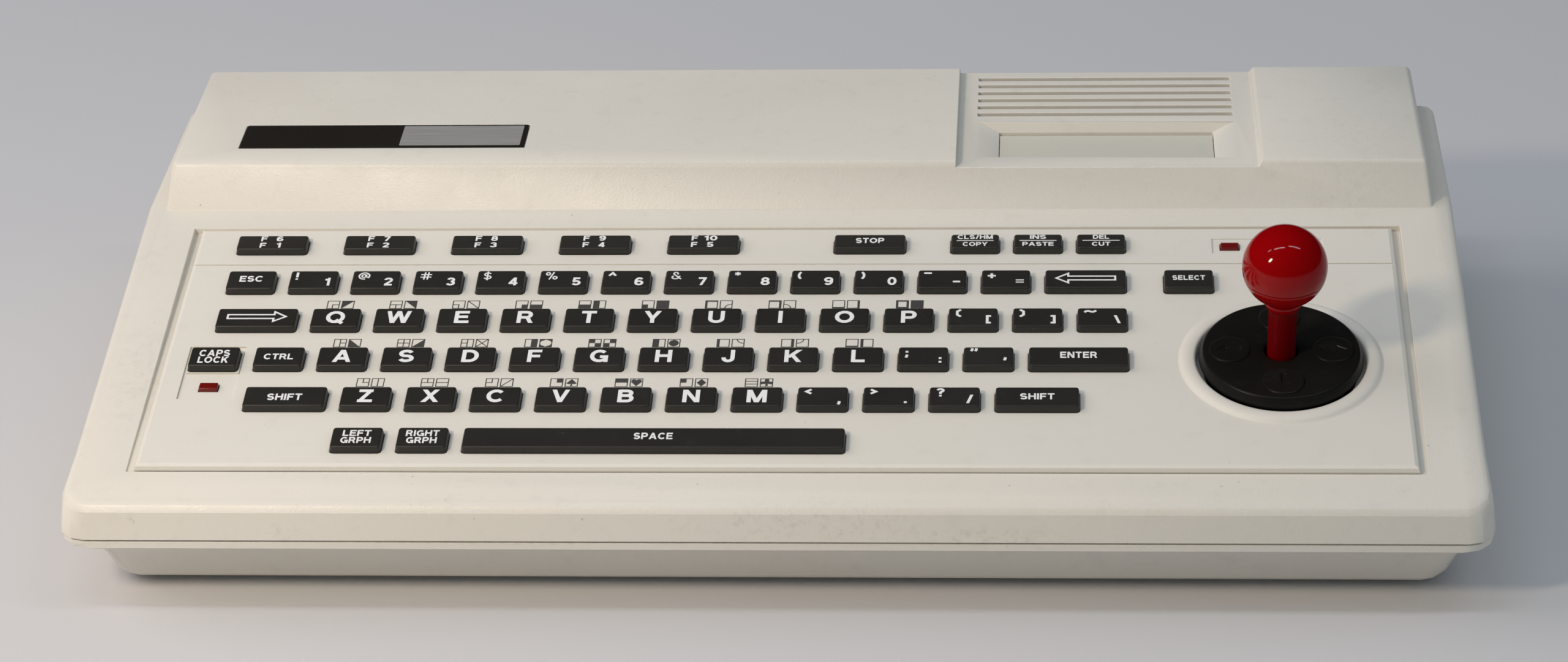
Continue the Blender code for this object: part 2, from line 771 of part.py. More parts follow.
ball_centre = from_pivot(ball_height)
collar_bottom = ball_centre - ball_radius - collar_length
meet = math.degrees(math.asin(collar_radius / ball_radius))
ball_curve = arc((0, ball_centre), ball_radius, 90, -90 + meet, arc_steps)
ball_profile = [(0, ball_centre + ball_radius)] + ball_curve[1:]
ball_profile += [(collar_radius, collar_bottom), (bore_radius, collar_bottom),
                 (bore_radius, collar_bottom + ball_socket), (0, collar_bottom + ball_socket)]
turned("joystick_ball", ball_profile, ball_plastic, ball_sides, pivot_spot, plate_frame)

half_gimbal = gimbal_height / 2
gimbal_ring = turned("gimbal_ring", [(gimbal_outer, half_gimbal), (gimbal_outer, -half_gimbal),
                                     (gimbal_inner, -half_gimbal), (gimbal_inner, half_gimbal)],
                     bright_metal, ball_sides, pivot_spot, plate_frame)
post_near = gimbal_outer + post_play
post_far = post_near + post_thickness
gimbal_pins = rods("gimbal_pins", [((side * (gimbal_outer - gimbal_wall / 2), 0, 0),
                                    (side * (post_far - gap), 0, 0)) for side in (-1, 1)],
                   gimbal_pin_radius, parent=plate_frame, location=pivot_spot)
hub_pin_holes = rods("hub_pin_holes", [((0, side * (gimbal_inner - overrun), 0),
                                        (0, side * (gimbal_outer + overrun), 0)) for side in (-1, 1)],
                     hub_pin_radius + gap, parent=plate_frame, location=pivot_spot)
join(gimbal_ring, gimbal_pins)
cut(gimbal_ring, hub_pin_holes)

housing_floor = -housing_depth
housing = turned("joystick_housing", [
    (0, housing_floor), (housing_inner, housing_floor), (housing_inner, flange_top),
    (housing_outer, flange_top), (housing_outer, housing_floor - housing_wall),
    (0, housing_floor - housing_wall),
], black_plastic, ball_sides, stick_spot, plate_frame)
post_half = post_width / 2
posts = boxes("posts", [((min(side * post_near, side * post_far), -post_half, housing_floor - housing_wall / 2),
                         (max(side * post_near, side * post_far), post_half, -post_top_below_plate))
                        for side in (-1, 1)], parent=plate_frame, location=stick_spot)
post_holes = rods("post_holes", [((side * (post_near - overrun), 0, -pivot_depth),
                                  (side * (post_far + overrun), 0, -pivot_depth)) for side in (-1, 1)],
                  gimbal_pin_radius + gap, parent=plate_frame, location=stick_spot)
join(housing, posts)
cut(housing, post_holes)


def case_block(name, inset, bottom, top, slope_drop, front_radius, rear_radius, edge_radius):
    """The wedge body: a leaning front, a flared skirt and the sloping deck cut off the top."""
    half = side_face - inset
    front = deck_front + inset
    rear = case_rear - inset
    crease = deck_front_height + skirt_crease_rise
    bm = bmesh.new()
    add_box(bm, (-half, front, bottom), (half, rear, top))
    if not inset:
        bmesh.ops.bisect_plane(bm, geom=bm.verts[:] + bm.edges[:] + bm.faces[:],
                               plane_co=(0, 0, crease), plane_no=(0, 0, 1))
        for corner in bm.verts:
            if corner.co.y < 0:
                corner.co.y -= skirt_flare * (deck_front_height - corner.co.z) / skirt_height
            if corner.co.z < crease:
                share = max(0, (crease - corner.co.z) / (crease - bottom))
                corner.co.x += math.copysign(side_flare * share, corner.co.x)
    slice_off(bm, (0, deck_front, deck_front_height - slope_drop),
              (0, -math.sin(deck_slope), math.cos(deck_slope)))

    def upright(a, b):
        return abs(a.z - b.z) > gap and abs(a.x - b.x) < 2 * skirt_flare and abs(a.y - b.y) < 2 * skirt_flare

    if front_radius:
        round_edges(bm, lambda a, b: upright(a, b) and a.y < 0, front_radius, 3)
        round_edges(bm, lambda a, b: upright(a, b) and a.y > 0, rear_radius, 2)
    if edge_radius:
        def on_rim(point):
            over_deck = point.z > deck_height(point.y) - gap / 3
            over_strip = point.z > strip_height - gap / 3
            return over_deck or over_strip

        def rim_edge(a, b):
            middle = (a + b) / 2
            crosses = abs(a.x) > half - front_radius and abs(b.x) > half - front_radius
            at_end = abs(middle.y - front) < front_radius or abs(middle.y - rear) < rear_radius
            across = abs(a.x - b.x) > deck_width / 2
            is_ridge = across and abs(middle.y - ridge) < front_radius
            return on_rim(a) and on_rim(b) and (crosses or at_end) and not is_ridge

        round_edges(bm, rim_edge, edge_radius, 2)
    return mesh_from(bm, name)


def bulge_block(name, inset, bottom, top, edge_radius):
    """The raised housing at the rear: leaning front and sides, flat top, upright rear."""
    half_top = bulge_top_width / 2 - inset
    lean_rate = bulge_side_lean / bulge_height
    front_rate = bulge_front_lean / (bulge_top - deck_height(bulge_foot))
    front_top = bulge_foot + bulge_front_lean + inset
    bm = bmesh.new()
    for corner in add_box(bm, (-half_top, front_top, bottom), (half_top, case_rear - inset, top)):
        if corner.co.z < (bottom + top) / 2:
            corner.co.x += math.copysign((top - bottom) * lean_rate, corner.co.x)
            corner.co.y -= (top - bottom) * front_rate if corner.co.y < (front_top + case_rear) / 2 else 0
    if edge_radius:
        round_edges(bm, lambda a, b: max(a.z, b.z) > top - gap, edge_radius, 2)
    return mesh_from(bm, name)


# Upper case
upper_case = add_object("upper_case",
                        case_block("upper_case", 0, skirt_bottom, strip_height, 0, front_corner_radius,
                                   rear_corner_radius, case_edge_radius), case_plastic)
bulge_root = strip_height - deck_wall / 2
bulge = add_object("bulge", bulge_block("bulge", 0, bulge_root, bulge_top, bulge_edge_radius))
hollow = add_object("hollow", case_block("hollow", wall, skirt_bottom - overrun, strip_height - wall,
                                         deck_wall, 0, 0, 0))
bulge_hollow = add_object("bulge_hollow", bulge_block("bulge_hollow", wall, strip_height - deck_wall,
                                                      bulge_top - bulge_roof, 0))

bay_outline = [(bay_left, bay_floor), (bay_right, bay_floor),
               (bay_right + bay_right_slope * (bay_sink + overrun) / bay_sink, bulge_top + overrun),
               (bay_left, bulge_top + overrun)]
bay_cut = flat_solid("bay_cut", bay_outline, -case_rear - overrun, -bulge_foot)
bay_cut.rotation_euler = (math.pi / 2, 0, 0)

vent_lines = [case_rear - vent_rear_setback - i * vent_pitch for i in range(vent_count)]
vents = boxes("vents", [((vent_left, y - vent_width / 2, bulge_top - bulge_roof - overrun),
                         (vent_left + vent_length, y + vent_width / 2, bulge_top + overrun))
                        for y in vent_lines])

chute = boxes("chute", [((throat_left - chute_wall, throat_front - chute_wall, throat_top - chute_length),
                         (throat_right + chute_wall, throat_rear + chute_wall,
                          bulge_top - bulge_roof + overrun))])
throat = boxes("throat", [((throat_left, throat_front, throat_top - chute_length - overrun),
                           (throat_right, throat_rear, bay_floor))])
funnel_bm = bmesh.new()
funnel_grow = overrun / funnel_drop
for corner in add_box(funnel_bm, (throat_left, throat_front, throat_top), (throat_right, throat_rear,
                                                                            bay_floor + overrun)):
    if corner.co.z > bay_floor:
        share = 1 + funnel_grow
        if corner.co.x < (throat_left + throat_right) / 2:
            corner.co.x -= funnel_side_slope * share
        else:
            corner.co.x += funnel_side_slope * share
        if corner.co.y < (throat_front + throat_rear) / 2:
            corner.co.y -= funnel_front_slope * share
        else:
            corner.co.y += funnel_rear_slope * share
funnel = add_object("funnel", mesh_from(funnel_bm, "funnel"))
pin_holes = rods("pin_holes", [((throat_left - chute_wall - overrun, hinge_y, hinge_z),
                                (throat_right + chute_wall + overrun, hinge_y, hinge_z))],
                 door_pin_radius + gap)

badge_recess = boxes("badge_recess", [((badge_left - gap, badge_front - gap, bulge_top - badge_sink),
                                       (badge_left + badge_width + gap, badge_front + badge_depth + gap,
                                        bulge_top + overrun))])
recess_half = plate_half + groove_width
plate_recess = boxes("plate_recess", [((-recess_half, -plate_depth - gap, flange_top),
                                       (recess_half, gap, deck_wall))], parent=plate_frame)
plate_opening = boxes("plate_opening", [((-plate_half + side_ledge, -plate_depth + front_ledge,
                                          -deck_wall * 2), (plate_half - side_ledge, -rear_ledge, 0))],
                      parent=plate_frame)

# Cut-outs for the sockets, each a running gap larger than its socket
rear_cuts = boxes("rear_cuts", [
    ((x - width / 2 - gap, case_rear - wall - gap - tongue_thickness - overrun, socket_bottom - gap),
     (x + width / 2 + gap, case_rear + overrun, socket_bottom + height + gap))
    for x, width, height in ((video_x, video_size, video_size), (tape_x, tape_width, edge_socket_height),
                             (expansion_x, expansion_width, edge_socket_height),
                             (inlet_x, inlet_size, inlet_size))])
side_cuts = boxes("side_cuts", [
    ((side_face - wall - overrun, y - width / 2 - gap, z - height / 2 - gap),
     (side_face + side_flare + overrun, y + width / 2 + gap, z + height / 2 + gap))
    for y, z, width, height in ((port_y[0], port_z, port_shell_width, port_shell_height),
                                (port_y[1], port_z, port_shell_width, port_shell_height),
                                (switch_y, switch_z, switch_frame_width - 2 * switch_bezel_lap,
                                 switch_frame_height - 2 * switch_bezel_lap))])
switch_recess = boxes("switch_recess", [
    ((side_face - switch_bezel - gap, switch_y - switch_frame_width / 2 - gap,
      switch_z - switch_frame_height / 2 - gap),
     (side_face + side_flare + overrun, switch_y + switch_frame_width / 2 + gap,
      switch_z + switch_frame_height / 2 + gap))])

# Screw bosses that hang from the upper case
screw_spots = [(side * screw_x, y) for side in (-1, 1) for y in (screw_front, screw_rear)]
screw_meet = foot_height + screw_head_well + screw_reach
boss_tops = {screw_front: deck_height(screw_front) - deck_wall / 2, screw_rear: bulge_top - bulge_roof / 2}
hanging_bosses = rods("hanging_bosses", [((x, y, screw_meet + gap), (x, y, boss_tops[y]))
                                         for x, y in screw_spots], case_boss_radius)
screw_bores = rods("screw_bores", [((x, y, screw_meet - overrun), (x, y, screw_meet + screw_engagement + overrun))
                                   for x, y in screw_spots], screw_radius + gap)

join(upper_case, bulge)
cut(upper_case, hollow, bulge_hollow, bay_cut)
join(upper_case, chute)
cut(upper_case, throat, funnel, vents, pin_holes, badge_recess, plate_recess, plate_opening, rear_cuts,
    side_cuts, switch_recess)
join(upper_case, hanging_bosses)
cut(upper_case, screw_bores)

# Cartridge door and its pin; the door's origin is on the hinge axis
door_left = throat_left + door_side_gap
door_right = throat_right - door_side_gap
door = boxes("cartridge_door", [((door_left, throat_front + door_side_gap - hinge_y, door_top - door_thickness
                                  - hinge_z), (door_right, 0, door_top - hinge_z))],
             case_plastic, location=(0, hinge_y, hinge_z))
door_knuckle = rods("door_knuckle", [((door_left, 0, 0), (door_right, 0, 0))], door_knuckle_radius,
                    location=(0, hinge_y, hinge_z))
door_bore = rods("door_bore", [((door_left - overrun, 0, 0), (door_right + overrun, 0, 0))],
                 door_pin_radius + gap, location=(0, hinge_y, hinge_z))
join(door, door_knuckle)
cut(door, door_bore)
rods("door_pin", [((throat_left - chute_wall, hinge_y, hinge_z), (throat_right + chute_wall, hinge_y, hinge_z))],
     door_pin_radius, bright_metal)

# Lower case: lip under the seam, leaning tub, standoffs and screw bosses
case_half = side_face + side_flare
lip_bm = bmesh.new()
add_box(lip_bm, (-case_half + lip_inset, case_front + lip_inset, tub_top),
        (case_half - lip_inset, case_rear - lip_inset, lip_top))
round_edges(lip_bm, lambda a, b: abs(a.z - b.z) > gap and a.y < 0, front_corner_radius + side_flare / 2, 3)
round_edges(lip_bm, lambda a, b: abs(a.z - b.z) > gap and a.y > 0, rear_corner_radius, 2)
round_edges(lip_bm, lambda a, b: max(a.z, b.z) < tub_top + gap, lip_thickness / 4, 1)
lower_case = add_object("lower_case", mesh_from(lip_bm, "lower_case"), case_plastic)


def tub_block(name, inset, bottom, top, corner_radius, edge_radius):
    """The tub under the lip, narrower at the floor than at the lip."""
    half = case_half - tub_top_inset - inset
    front = case_front + tub_front_inset + inset
    rear = case_rear - tub_rear_inset - inset
    bm = bmesh.new()
    for corner in add_box(bm, (-half, front, bottom), (half, rear, top)):
        share = (tub_top - corner.co.z) / tub_height
        corner.co.x -= math.copysign(tub_side_lean, corner.co.x) * share
        corner.co.y += (tub_front_lean if corner.co.y < 0 else -tub_rear_lean) * share
    if corner_radius:
        round_edges(bm, lambda a, b: abs(a.z - b.z) > wall, corner_radius, 3)
        round_edges(bm, lambda a, b: max(a.z, b.z) < bottom + gap, edge_radius, 2)
    return mesh_from(bm, name)


tub = add_object("tub", tub_block("tub", 0, foot_height, tub_top + lip_thickness / 2, front_corner_radius,
                                  case_edge_radius))
tub_hollow = add_object("tub_hollow", tub_block("tub_hollow", wall, foot_height + wall,
                                                lip_top + tongue_height + overrun, 0, 0))
tongue_half = side_face - wall - gap
tongue = boxes("tongue", [((-tongue_half, deck_front + wall + gap, lip_top - overrun),
                           (tongue_half, case_rear - wall - gap, lip_top + tongue_height))])
tongue_hollow_half = tongue_half - tongue_thickness
tongue_hollow = boxes("tongue_hollow", [((-tongue_hollow_half, deck_front + wall + gap + tongue_thickness, lip_top),
                                         (tongue_hollow_half, case_rear - wall - gap - tongue_thickness,
                                          lip_top + tongue_height + overrun))])
standoff_spots = [(x * deck_width, y * case_depth) for x in standoff_x_shares for y in standoff_y_shares]
standoffs = rods("standoffs", [((x, y, foot_height + wall / 2), (x, y, main_board_height - gap))
                               for x, y in standoff_spots], standoff_radius)
screw_posts = rods("screw_posts", [((x, y, foot_height + wall / 2), (x, y, screw_meet)) for x, y in screw_spots],
                   boss_radius)
head_wells = rods("head_wells", [((x, y, foot_height - overrun), (x, y, foot_height + screw_head_well))
                                 for x, y in screw_spots], screw_head_radius + gap)
screw_passages = rods("screw_passages", [((x, y, foot_height), (x, y, screw_meet + overrun))
                                         for x, y in screw_spots], screw_radius + gap)
join(lower_case, tub, tongue)
cut(lower_case, tongue_hollow, tub_hollow, rear_cuts)
join(lower_case, standoffs, screw_posts)
cut(lower_case, head_wells, screw_passages)

# Case screws and feet
for screw_name, (x, y) in zip(("rear_left", "front_left", "rear_right", "front_right"),
                              sorted(screw_spots, key=lambda spot: (spot[0], -spot[1]))):
    head_bottom = foot_height + screw_head_well - gap - screw_head_height
    turned("case_screw_" + screw_name, [
        (0, screw_meet + screw_engagement), (screw_radius, screw_meet + screw_engagement),
        (screw_radius, head_bottom + screw_head_height),
        (screw_head_radius, head_bottom + screw_head_height), (screw_head_radius, head_bottom),
        (0, head_bottom),
    ], bright_metal, small_sides, (x, y, 0))

for foot_name, x, y in (("front_left", -foot_x, foot_front), ("front_right", foot_x, foot_front),
                        ("rear_left", -foot_x, foot_rear), ("rear_right", foot_x, foot_rear)):
    turned("foot_" + foot_name, [
        (0, foot_height - gap), (foot_radius, foot_height - gap), (foot_radius, foot_edge),
        (foot_radius - foot_edge, 0), (0, 0),
    ], rubber, 2 * small_sides, (x, y, 0))

# Badge plate
boxes("badge_plate", [((badge_left, badge_front, bulge_top - badge_sink + gap),
                       (badge_left + badge_width, badge_front + badge_depth,
                        bulge_top - badge_sink + gap + badge_thickness))], badge_metal)

# Main board with its chips
main_board = boxes("main_board", [((main_board_left, main_board_front, main_board_height),
                                   (main_board_right, main_board_rear, main_board_height + board_thickness))],
                   board_laminate)
chips = boxes("chips", [((x * deck_width - chip_length / 2, ribbon_y + y - chip_width / 2,
                          main_board_height + board_thickness / 2),
                         (x * deck_width + chip_length / 2, ribbon_y + y + chip_width / 2,
                          main_board_height + board_thickness + chip_height))
                        for x in chip_x_shares for y in chip_row_setbacks])
join(main_board, chips)

# Cartridge connector on the main board, under the door
slot_x = (throat_left + throat_right) / 2
slot_y = (throat_front + hinge_y - door_knuckle_radius) / 2
connector = boxes("cartridge_connector", [
    ((slot_x - slot_block_length / 2, slot_y - slot_block_width / 2, socket_bottom),
     (slot_x + slot_block_length / 2, slot_y + slot_block_width / 2, socket_bottom + slot_block_height))],
    black_plastic)
connector_mouth = boxes("connector_mouth", [
    ((slot_x - slot_mouth_length / 2, slot_y - slot_mouth / 2,
      socket_bottom + slot_block_height - slot_mouth_depth),
     (slot_x + slot_mouth_length / 2, slot_y + slot_mouth / 2, socket_bottom + slot_block_height + overrun))])
cut(connector, connector_mouth)

# Sockets in the rear wall, standing on the main board
socket_front = case_rear - socket_sink - socket_depth
socket_face = case_rear - socket_sink


def rear_socket(name, x, width, height):
    """A block that fills its cut-out in the rear wall."""
    return boxes(name, [((x - width / 2, socket_front, socket_bottom),
                         (x + width / 2, socket_face, socket_bottom + height))], black_plastic)


def round_recess(socket, x, height, outer, inner):
    """A ring-shaped recess round the pins of a round socket."""
    middle = socket_bottom + height / 2
    ring = turned(socket.name + "_recess", [(outer, 0), (outer, -socket_recess - overrun),
                                            (inner, -socket_recess - overrun), (inner, 0)],
                  sides=2 * small_sides, location=(x, socket_face + overrun, middle))
    ring.rotation_euler = (-math.pi / 2, 0, 0)
    cut(socket, ring)


def edge_slot(socket, x, width):
    """A narrow slot for a flat board's edge."""
    middle = socket_bottom + edge_socket_height / 2
    slot = boxes(socket.name + "_slot", [
        ((x - width / 2 + edge_slot_margin, socket_front + socket_shell, middle - edge_slot_width / 2),
         (x + width / 2 - edge_slot_margin, socket_face + overrun, middle + edge_slot_width / 2))])
    cut(socket, slot)


video_socket = rear_socket("video_socket", video_x, video_size, video_size)
round_recess(video_socket, video_x, video_size, video_radius, video_radius - 2 * socket_shell)
power_inlet = rear_socket("power_inlet", inlet_x, inlet_size, inlet_size)
round_recess(power_inlet, inlet_x, inlet_size, inlet_radius, inlet_radius - 2 * socket_shell)
tape_socket = rear_socket("tape_socket", tape_x, tape_width, edge_socket_height)
edge_slot(tape_socket, tape_x, tape_width)
expansion_socket = rear_socket("expansion_socket", expansion_x, expansion_width, edge_socket_height)
edge_slot(expansion_socket, expansion_x, expansion_width)

boxes("signal_shield", [((video_x - shield_length / 2, socket_front - gap - shield_width, socket_bottom),
                         (video_x + shield_length / 2, socket_front - gap, socket_bottom + shield_height))],
      bright_metal)

# Joystick ports in the right side, each with a tapered shell round its pins
port_face = side_face - wall - gap
for number, y in enumerate(port_y):
    port = boxes("joystick_port_%d" % (number + 1), [
        ((side_face - socket_depth, y - port_width / 2, port_z - port_height / 2),
         (port_face, y + port_width / 2, port_z + port_height / 2))], black_plastic)
    for suffix, shrink, reach in (("_shell", 0, 0), ("_shell_hollow", port_shell_wall, overrun)):
        shell_bm = bmesh.new()
        for corner in add_box(shell_bm, (port_face - overrun if not shrink else port_face,
                                         y - port_shell_width / 2 + shrink, port_z - port_shell_height / 2 + shrink),
                              (side_face - gap + reach, y + port_shell_width / 2 - shrink,
                               port_z + port_shell_height / 2 - shrink)):
            if corner.co.z < port_z:
                corner.co.y += port_shell_taper if corner.co.y < y else -port_shell_taper
        combine(port, add_object(port.name + suffix, mesh_from(shell_bm, port.name + suffix)),
                "DIFFERENCE" if shrink else "UNION")

# Power switch: a frame flush with the side wall and a sunk rocker that leans to its off side at rest
frame_half = switch_frame_width / 2
frame_rise = switch_frame_height / 2
switch_frame = boxes("switch_frame", [
    ((side_face - switch_bezel, switch_y - frame_half, switch_z - frame_rise),
     (side_face, switch_y + frame_half, switch_z + frame_rise))], black_plastic)
body_half = frame_half - switch_bezel_lap
body_rise = frame_rise - switch_bezel_lap
frame_body = boxes("frame_body", [
    ((side_face - switch_depth, switch_y - body_half, switch_z - body_rise),
     (side_face - switch_bezel / 2, switch_y + body_half, switch_z + body_rise))])
rocker_room = rocker_width / 2 + rocker_play
rocker_well = boxes("rocker_well", [
    ((side_face - switch_depth + switch_bezel, switch_y - rocker_room, switch_z - rocker_height / 2 - gap),
     (side_face + overrun, switch_y + rocker_room, switch_z + rocker_height / 2 + gap))])
rocker_axis = (side_face - rocker_depth / 2 - rocker_sink, switch_y, switch_z)
rocker_pin_ends = body_rise - gap
frame_bores = rods("frame_bores", [((0, 0, -body_rise - overrun), (0, 0, body_rise + overrun))],
                   rocker_pin_radius + gap, location=rocker_axis)
join(switch_frame, frame_body)
cut(switch_frame, rocker_well, frame_bores)
rocker_bm = bmesh.new()
add_box(rocker_bm, (-rocker_depth / 2, -rocker_width / 2, -rocker_height / 2),
        (rocker_depth / 2 + rocker_proud, rocker_width / 2, rocker_height / 2))
round_edges(rocker_bm, lambda a, b: min(a.x, b.x) > rocker_depth / 2, key_edge, 1)
rocker = add_object("power_rocker", mesh_from(rocker_bm, "power_rocker"), black_plastic, rocker_axis)
rocker.rotation_euler = (0, 0, -rocker_tilt)
rocker_pins = rods("rocker_pins", [((0, 0, -rocker_pin_ends), (0, 0, rocker_pin_ends))],
                   rocker_pin_radius, location=rocker_axis)
join(rocker, rocker_pins)

# Flat ribbon cable that hangs in a bend between the keyboard board and the main board
ribbon_top_z = deck_height(plate_rear) - ribbon_setback * math.sin(plate_slope) + board_bottom - 2 * gap
ribbon_low_z = main_board_height + board_thickness + gap
bend = (ribbon_top_z - ribbon_low_z) / 2
bend_centre = (ribbon_y, ribbon_low_z + bend)
ribbon_outline = arc(bend_centre, bend, 90, 270, arc_steps)
ribbon_outline += arc(bend_centre, bend - ribbon_thickness, 270, 90, arc_steps)
ribbon = flat_solid("keyboard_ribbon", ribbon_outline, -ribbon_width / 2, ribbon_width / 2, ribbon_plastic,
                    location=(ribbon_x, 0, 0))
ribbon.rotation_euler = (math.pi / 2, 0, math.pi / 2)

for thing in parts.objects:
    thing.data.shade_smooth()
    thing.data.set_sharp_from_angle(angle=math.radians(35))
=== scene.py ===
"""Looks of the vintage home computer: moulded case, key caps with legends, joystick, lamps and sockets.

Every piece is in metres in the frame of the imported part. Pieces on the sloping key plate are worked
out in its own millimetres: x runs right, v runs up the slope from the plate's rear edge, h is height.
"""

import json
import math

import bmesh
import bpy
import numpy as np
from mathutils import Matrix, Vector


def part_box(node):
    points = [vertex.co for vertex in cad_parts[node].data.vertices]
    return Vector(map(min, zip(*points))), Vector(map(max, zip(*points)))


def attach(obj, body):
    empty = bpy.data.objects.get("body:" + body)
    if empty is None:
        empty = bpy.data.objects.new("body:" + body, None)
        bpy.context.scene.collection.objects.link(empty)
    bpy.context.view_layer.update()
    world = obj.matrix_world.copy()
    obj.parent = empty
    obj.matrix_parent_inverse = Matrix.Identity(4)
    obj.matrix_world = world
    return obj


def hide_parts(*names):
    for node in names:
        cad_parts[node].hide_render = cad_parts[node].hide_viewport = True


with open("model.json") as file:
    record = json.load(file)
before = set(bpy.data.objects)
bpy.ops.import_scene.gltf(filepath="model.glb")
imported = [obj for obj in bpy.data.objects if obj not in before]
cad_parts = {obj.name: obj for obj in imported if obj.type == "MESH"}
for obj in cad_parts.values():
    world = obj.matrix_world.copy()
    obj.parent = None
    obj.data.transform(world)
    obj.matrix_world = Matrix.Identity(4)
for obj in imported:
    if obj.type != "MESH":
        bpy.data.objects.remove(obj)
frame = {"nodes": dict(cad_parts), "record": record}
scene = bpy.context.scene
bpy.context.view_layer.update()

mm = 0.001
plate_slope = math.radians(8.465)
plate_origin = np.array([0.0, 24.65, 55.737])
plate_axes = np.array([[1, 0, 0], [0, math.cos(plate_slope), math.sin(plate_slope)],
                       [0, -math.sin(plate_slope), math.cos(plate_slope)]])
key_pitch = 19.05
first_key = -170.0
key_width = 14.9
key_depth = 9.5
key_top = 2.2
stick_spot = np.array([146.2, -66.9, 0.0])


# Meshes from arrays

def on_plate(points):
    """Plate millimetres (x, v, h) to metres of the part: origin + x*u + v*slope + h*normal."""
    return (np.asarray(points, float).reshape(-1, 3) @ plate_axes + plate_origin) * mm


def straight(points):
    """Millimetres of the part to metres."""
    return np.asarray(points, float).reshape(-1, 3) * mm


def added(name, data):
    """A new object in the scene."""
    thing = bpy.data.objects.new(name, data)
    scene.collection.objects.link(thing)
    return thing


def piece(name, parts, material, body, place=on_plate, sharp=40):
    """One object from (points, faces) pairs, placed by the given map, riding on a body."""
    points, faces, start = [], [], 0
    for some_points, some_faces in parts:
        some_points = np.asarray(some_points, float).reshape(-1, 3)
        points.append(some_points)
        faces += [[int(i) + start for i in face] for face in some_faces]
        start += len(some_points)
    mesh = bpy.data.meshes.new(name)
    mesh.from_pydata(place(np.vstack(points)).tolist(), [], faces)
    mesh.validate()
    mesh.shade_smooth()
    mesh.set_sharp_from_angle(angle=math.radians(sharp))
    mesh.materials.append(material)
    thing = added(name, mesh)
    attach(thing, body)
    return thing


def quad_grid(rows, columns, wrap):
    """Faces of a grid of rows by columns points; wrap closes each row on itself."""
    r, c = np.meshgrid(np.arange(rows - 1), np.arange(columns if wrap else columns - 1), indexing="ij")
    n = (c + 1) % columns
    return np.stack([r * columns + c, r * columns + n, (r + 1) * columns + n, (r + 1) * columns + c],
                    axis=-1).reshape(-1, 4).tolist()


def rounded_outline(half_x, half_y, radius, steps=5):
    """Outline of a rectangle whose corners are quarter circles of the given radius, anticlockwise."""
    turn = np.linspace(0, math.pi / 2, steps + 1)
    quarter = np.repeat(np.arange(4), steps + 1)
    angle = np.tile(turn, 4) + quarter * math.pi / 2
    sx = np.where((quarter == 0) | (quarter == 3), 1, -1) * (half_x - radius)
    sy = np.where(quarter < 2, 1, -1) * (half_y - radius)
    return np.stack([sx + radius * np.cos(angle), sy + radius * np.sin(angle)], axis=-1)


def stepped_block(centre, half_x, half_y, corner, profile, steps=5):
    """A closed block: rings of the rounded outline at each (inset, height) of the profile, capped."""
    rings = []
    for inset, height in profile:
        radius = max(corner - inset, 0.05)
        outline = rounded_outline(half_x - inset, half_y - inset, radius, steps)
        rings.append(np.column_stack([outline + np.asarray(centre[:2]), np.full(len(outline), height)]))
    count = 4 * (steps + 1)
    faces = quad_grid(len(rings), count, True)
    faces.append(list(range(count))[::-1])
    faces.append(list(range((len(rings) - 1) * count, len(rings) * count)))
    return np.vstack(rings), faces


def turned(centre, profile, sides=96):
    """A profile of (radius, height) carried round an upright axis; ends on the axis are closed."""
    profile = np.asarray(profile, float)
    angle = np.arange(sides) * 2 * math.pi / sides
    ring = np.stack([np.cos(angle), np.sin(angle)], axis=-1)
    radii = np.maximum(profile[:, 0], 0.0)
    points = np.concatenate([radii[:, None, None] * ring[None], np.broadcast_to(
        profile[:, 1][:, None, None], (len(profile), sides, 1))], axis=-1).reshape(-1, 3)
    faces = quad_grid(len(profile), sides, True)
    if profile[0, 0] > 0:
        faces.append(list(range(sides))[::-1])
    if profile[-1, 0] > 0:
        faces.append(list(range((len(profile) - 1) * sides, len(profile) * sides)))
    return points + np.asarray(centre, float), faces


def closed_turn(centre, profile, sides=96):
    """A closed ring-shaped profile carried round an upright axis."""
    profile = np.asarray(profile + [profile[0]], float)
    points, faces = turned(centre, profile, sides)
    return points, faces[:-2]


def arc_points(cx, cy, rx, ry, start, end, steps=14):
    """Points on an ellipse's arc, angles in degrees."""
    angle = np.radians(np.linspace(start, end, steps + 1))
    return np.stack([cx + rx * np.cos(angle), cy + ry * np.sin(angle)], axis=-1)


# Shader node groups and materials

def feed(tree, value, socket):
    """Link a value to a socket, or set it there; a colour gets its alpha."""
    if isinstance(value, bpy.types.NodeSocket):
        tree.links.new(value, socket)
    else:
        socket.default_value = (*value, 1.0) if socket.type == "RGBA" else value


def new_node(tree, kind, **values):
    """A shader node whose inputs are fed; their names have underscores for spaces."""
    node = tree.nodes.new("ShaderNode" + kind)
    for label, value in values.items():
        feed(tree, value, node.inputs[label.replace("_", " ")])
    return node


def new_group(name, inputs, outputs):
    """An empty node group with its inputs and outputs, given as (name, type) pairs."""
    group = bpy.data.node_groups.new(name, "ShaderNodeTree")
    for way, pairs in (("INPUT", inputs), ("OUTPUT", outputs)):
        for label, kind in pairs:
            group.interface.new_socket(label, in_out=way, socket_type="NodeSocket" + kind)
    return group, group.nodes.new("NodeGroupInput").outputs, group.nodes.new("NodeGroupOutput").inputs


def group_node(tree, group, values):
    """A node that holds a group, its inputs fed by (name, value) pairs."""
    node = new_node(tree, "Group")
    node.node_tree = group
    for label, value in values:
        feed(tree, value, node.inputs[label])
    return node.outputs


def noise_at(tree, vector, scale, detail=2.0, roughness=0.5):
    """A noise texture on a vector."""
    return new_node(tree, "TexNoise", Vector=vector, Scale=scale, Detail=detail,
                    Roughness=roughness).outputs["Fac"]


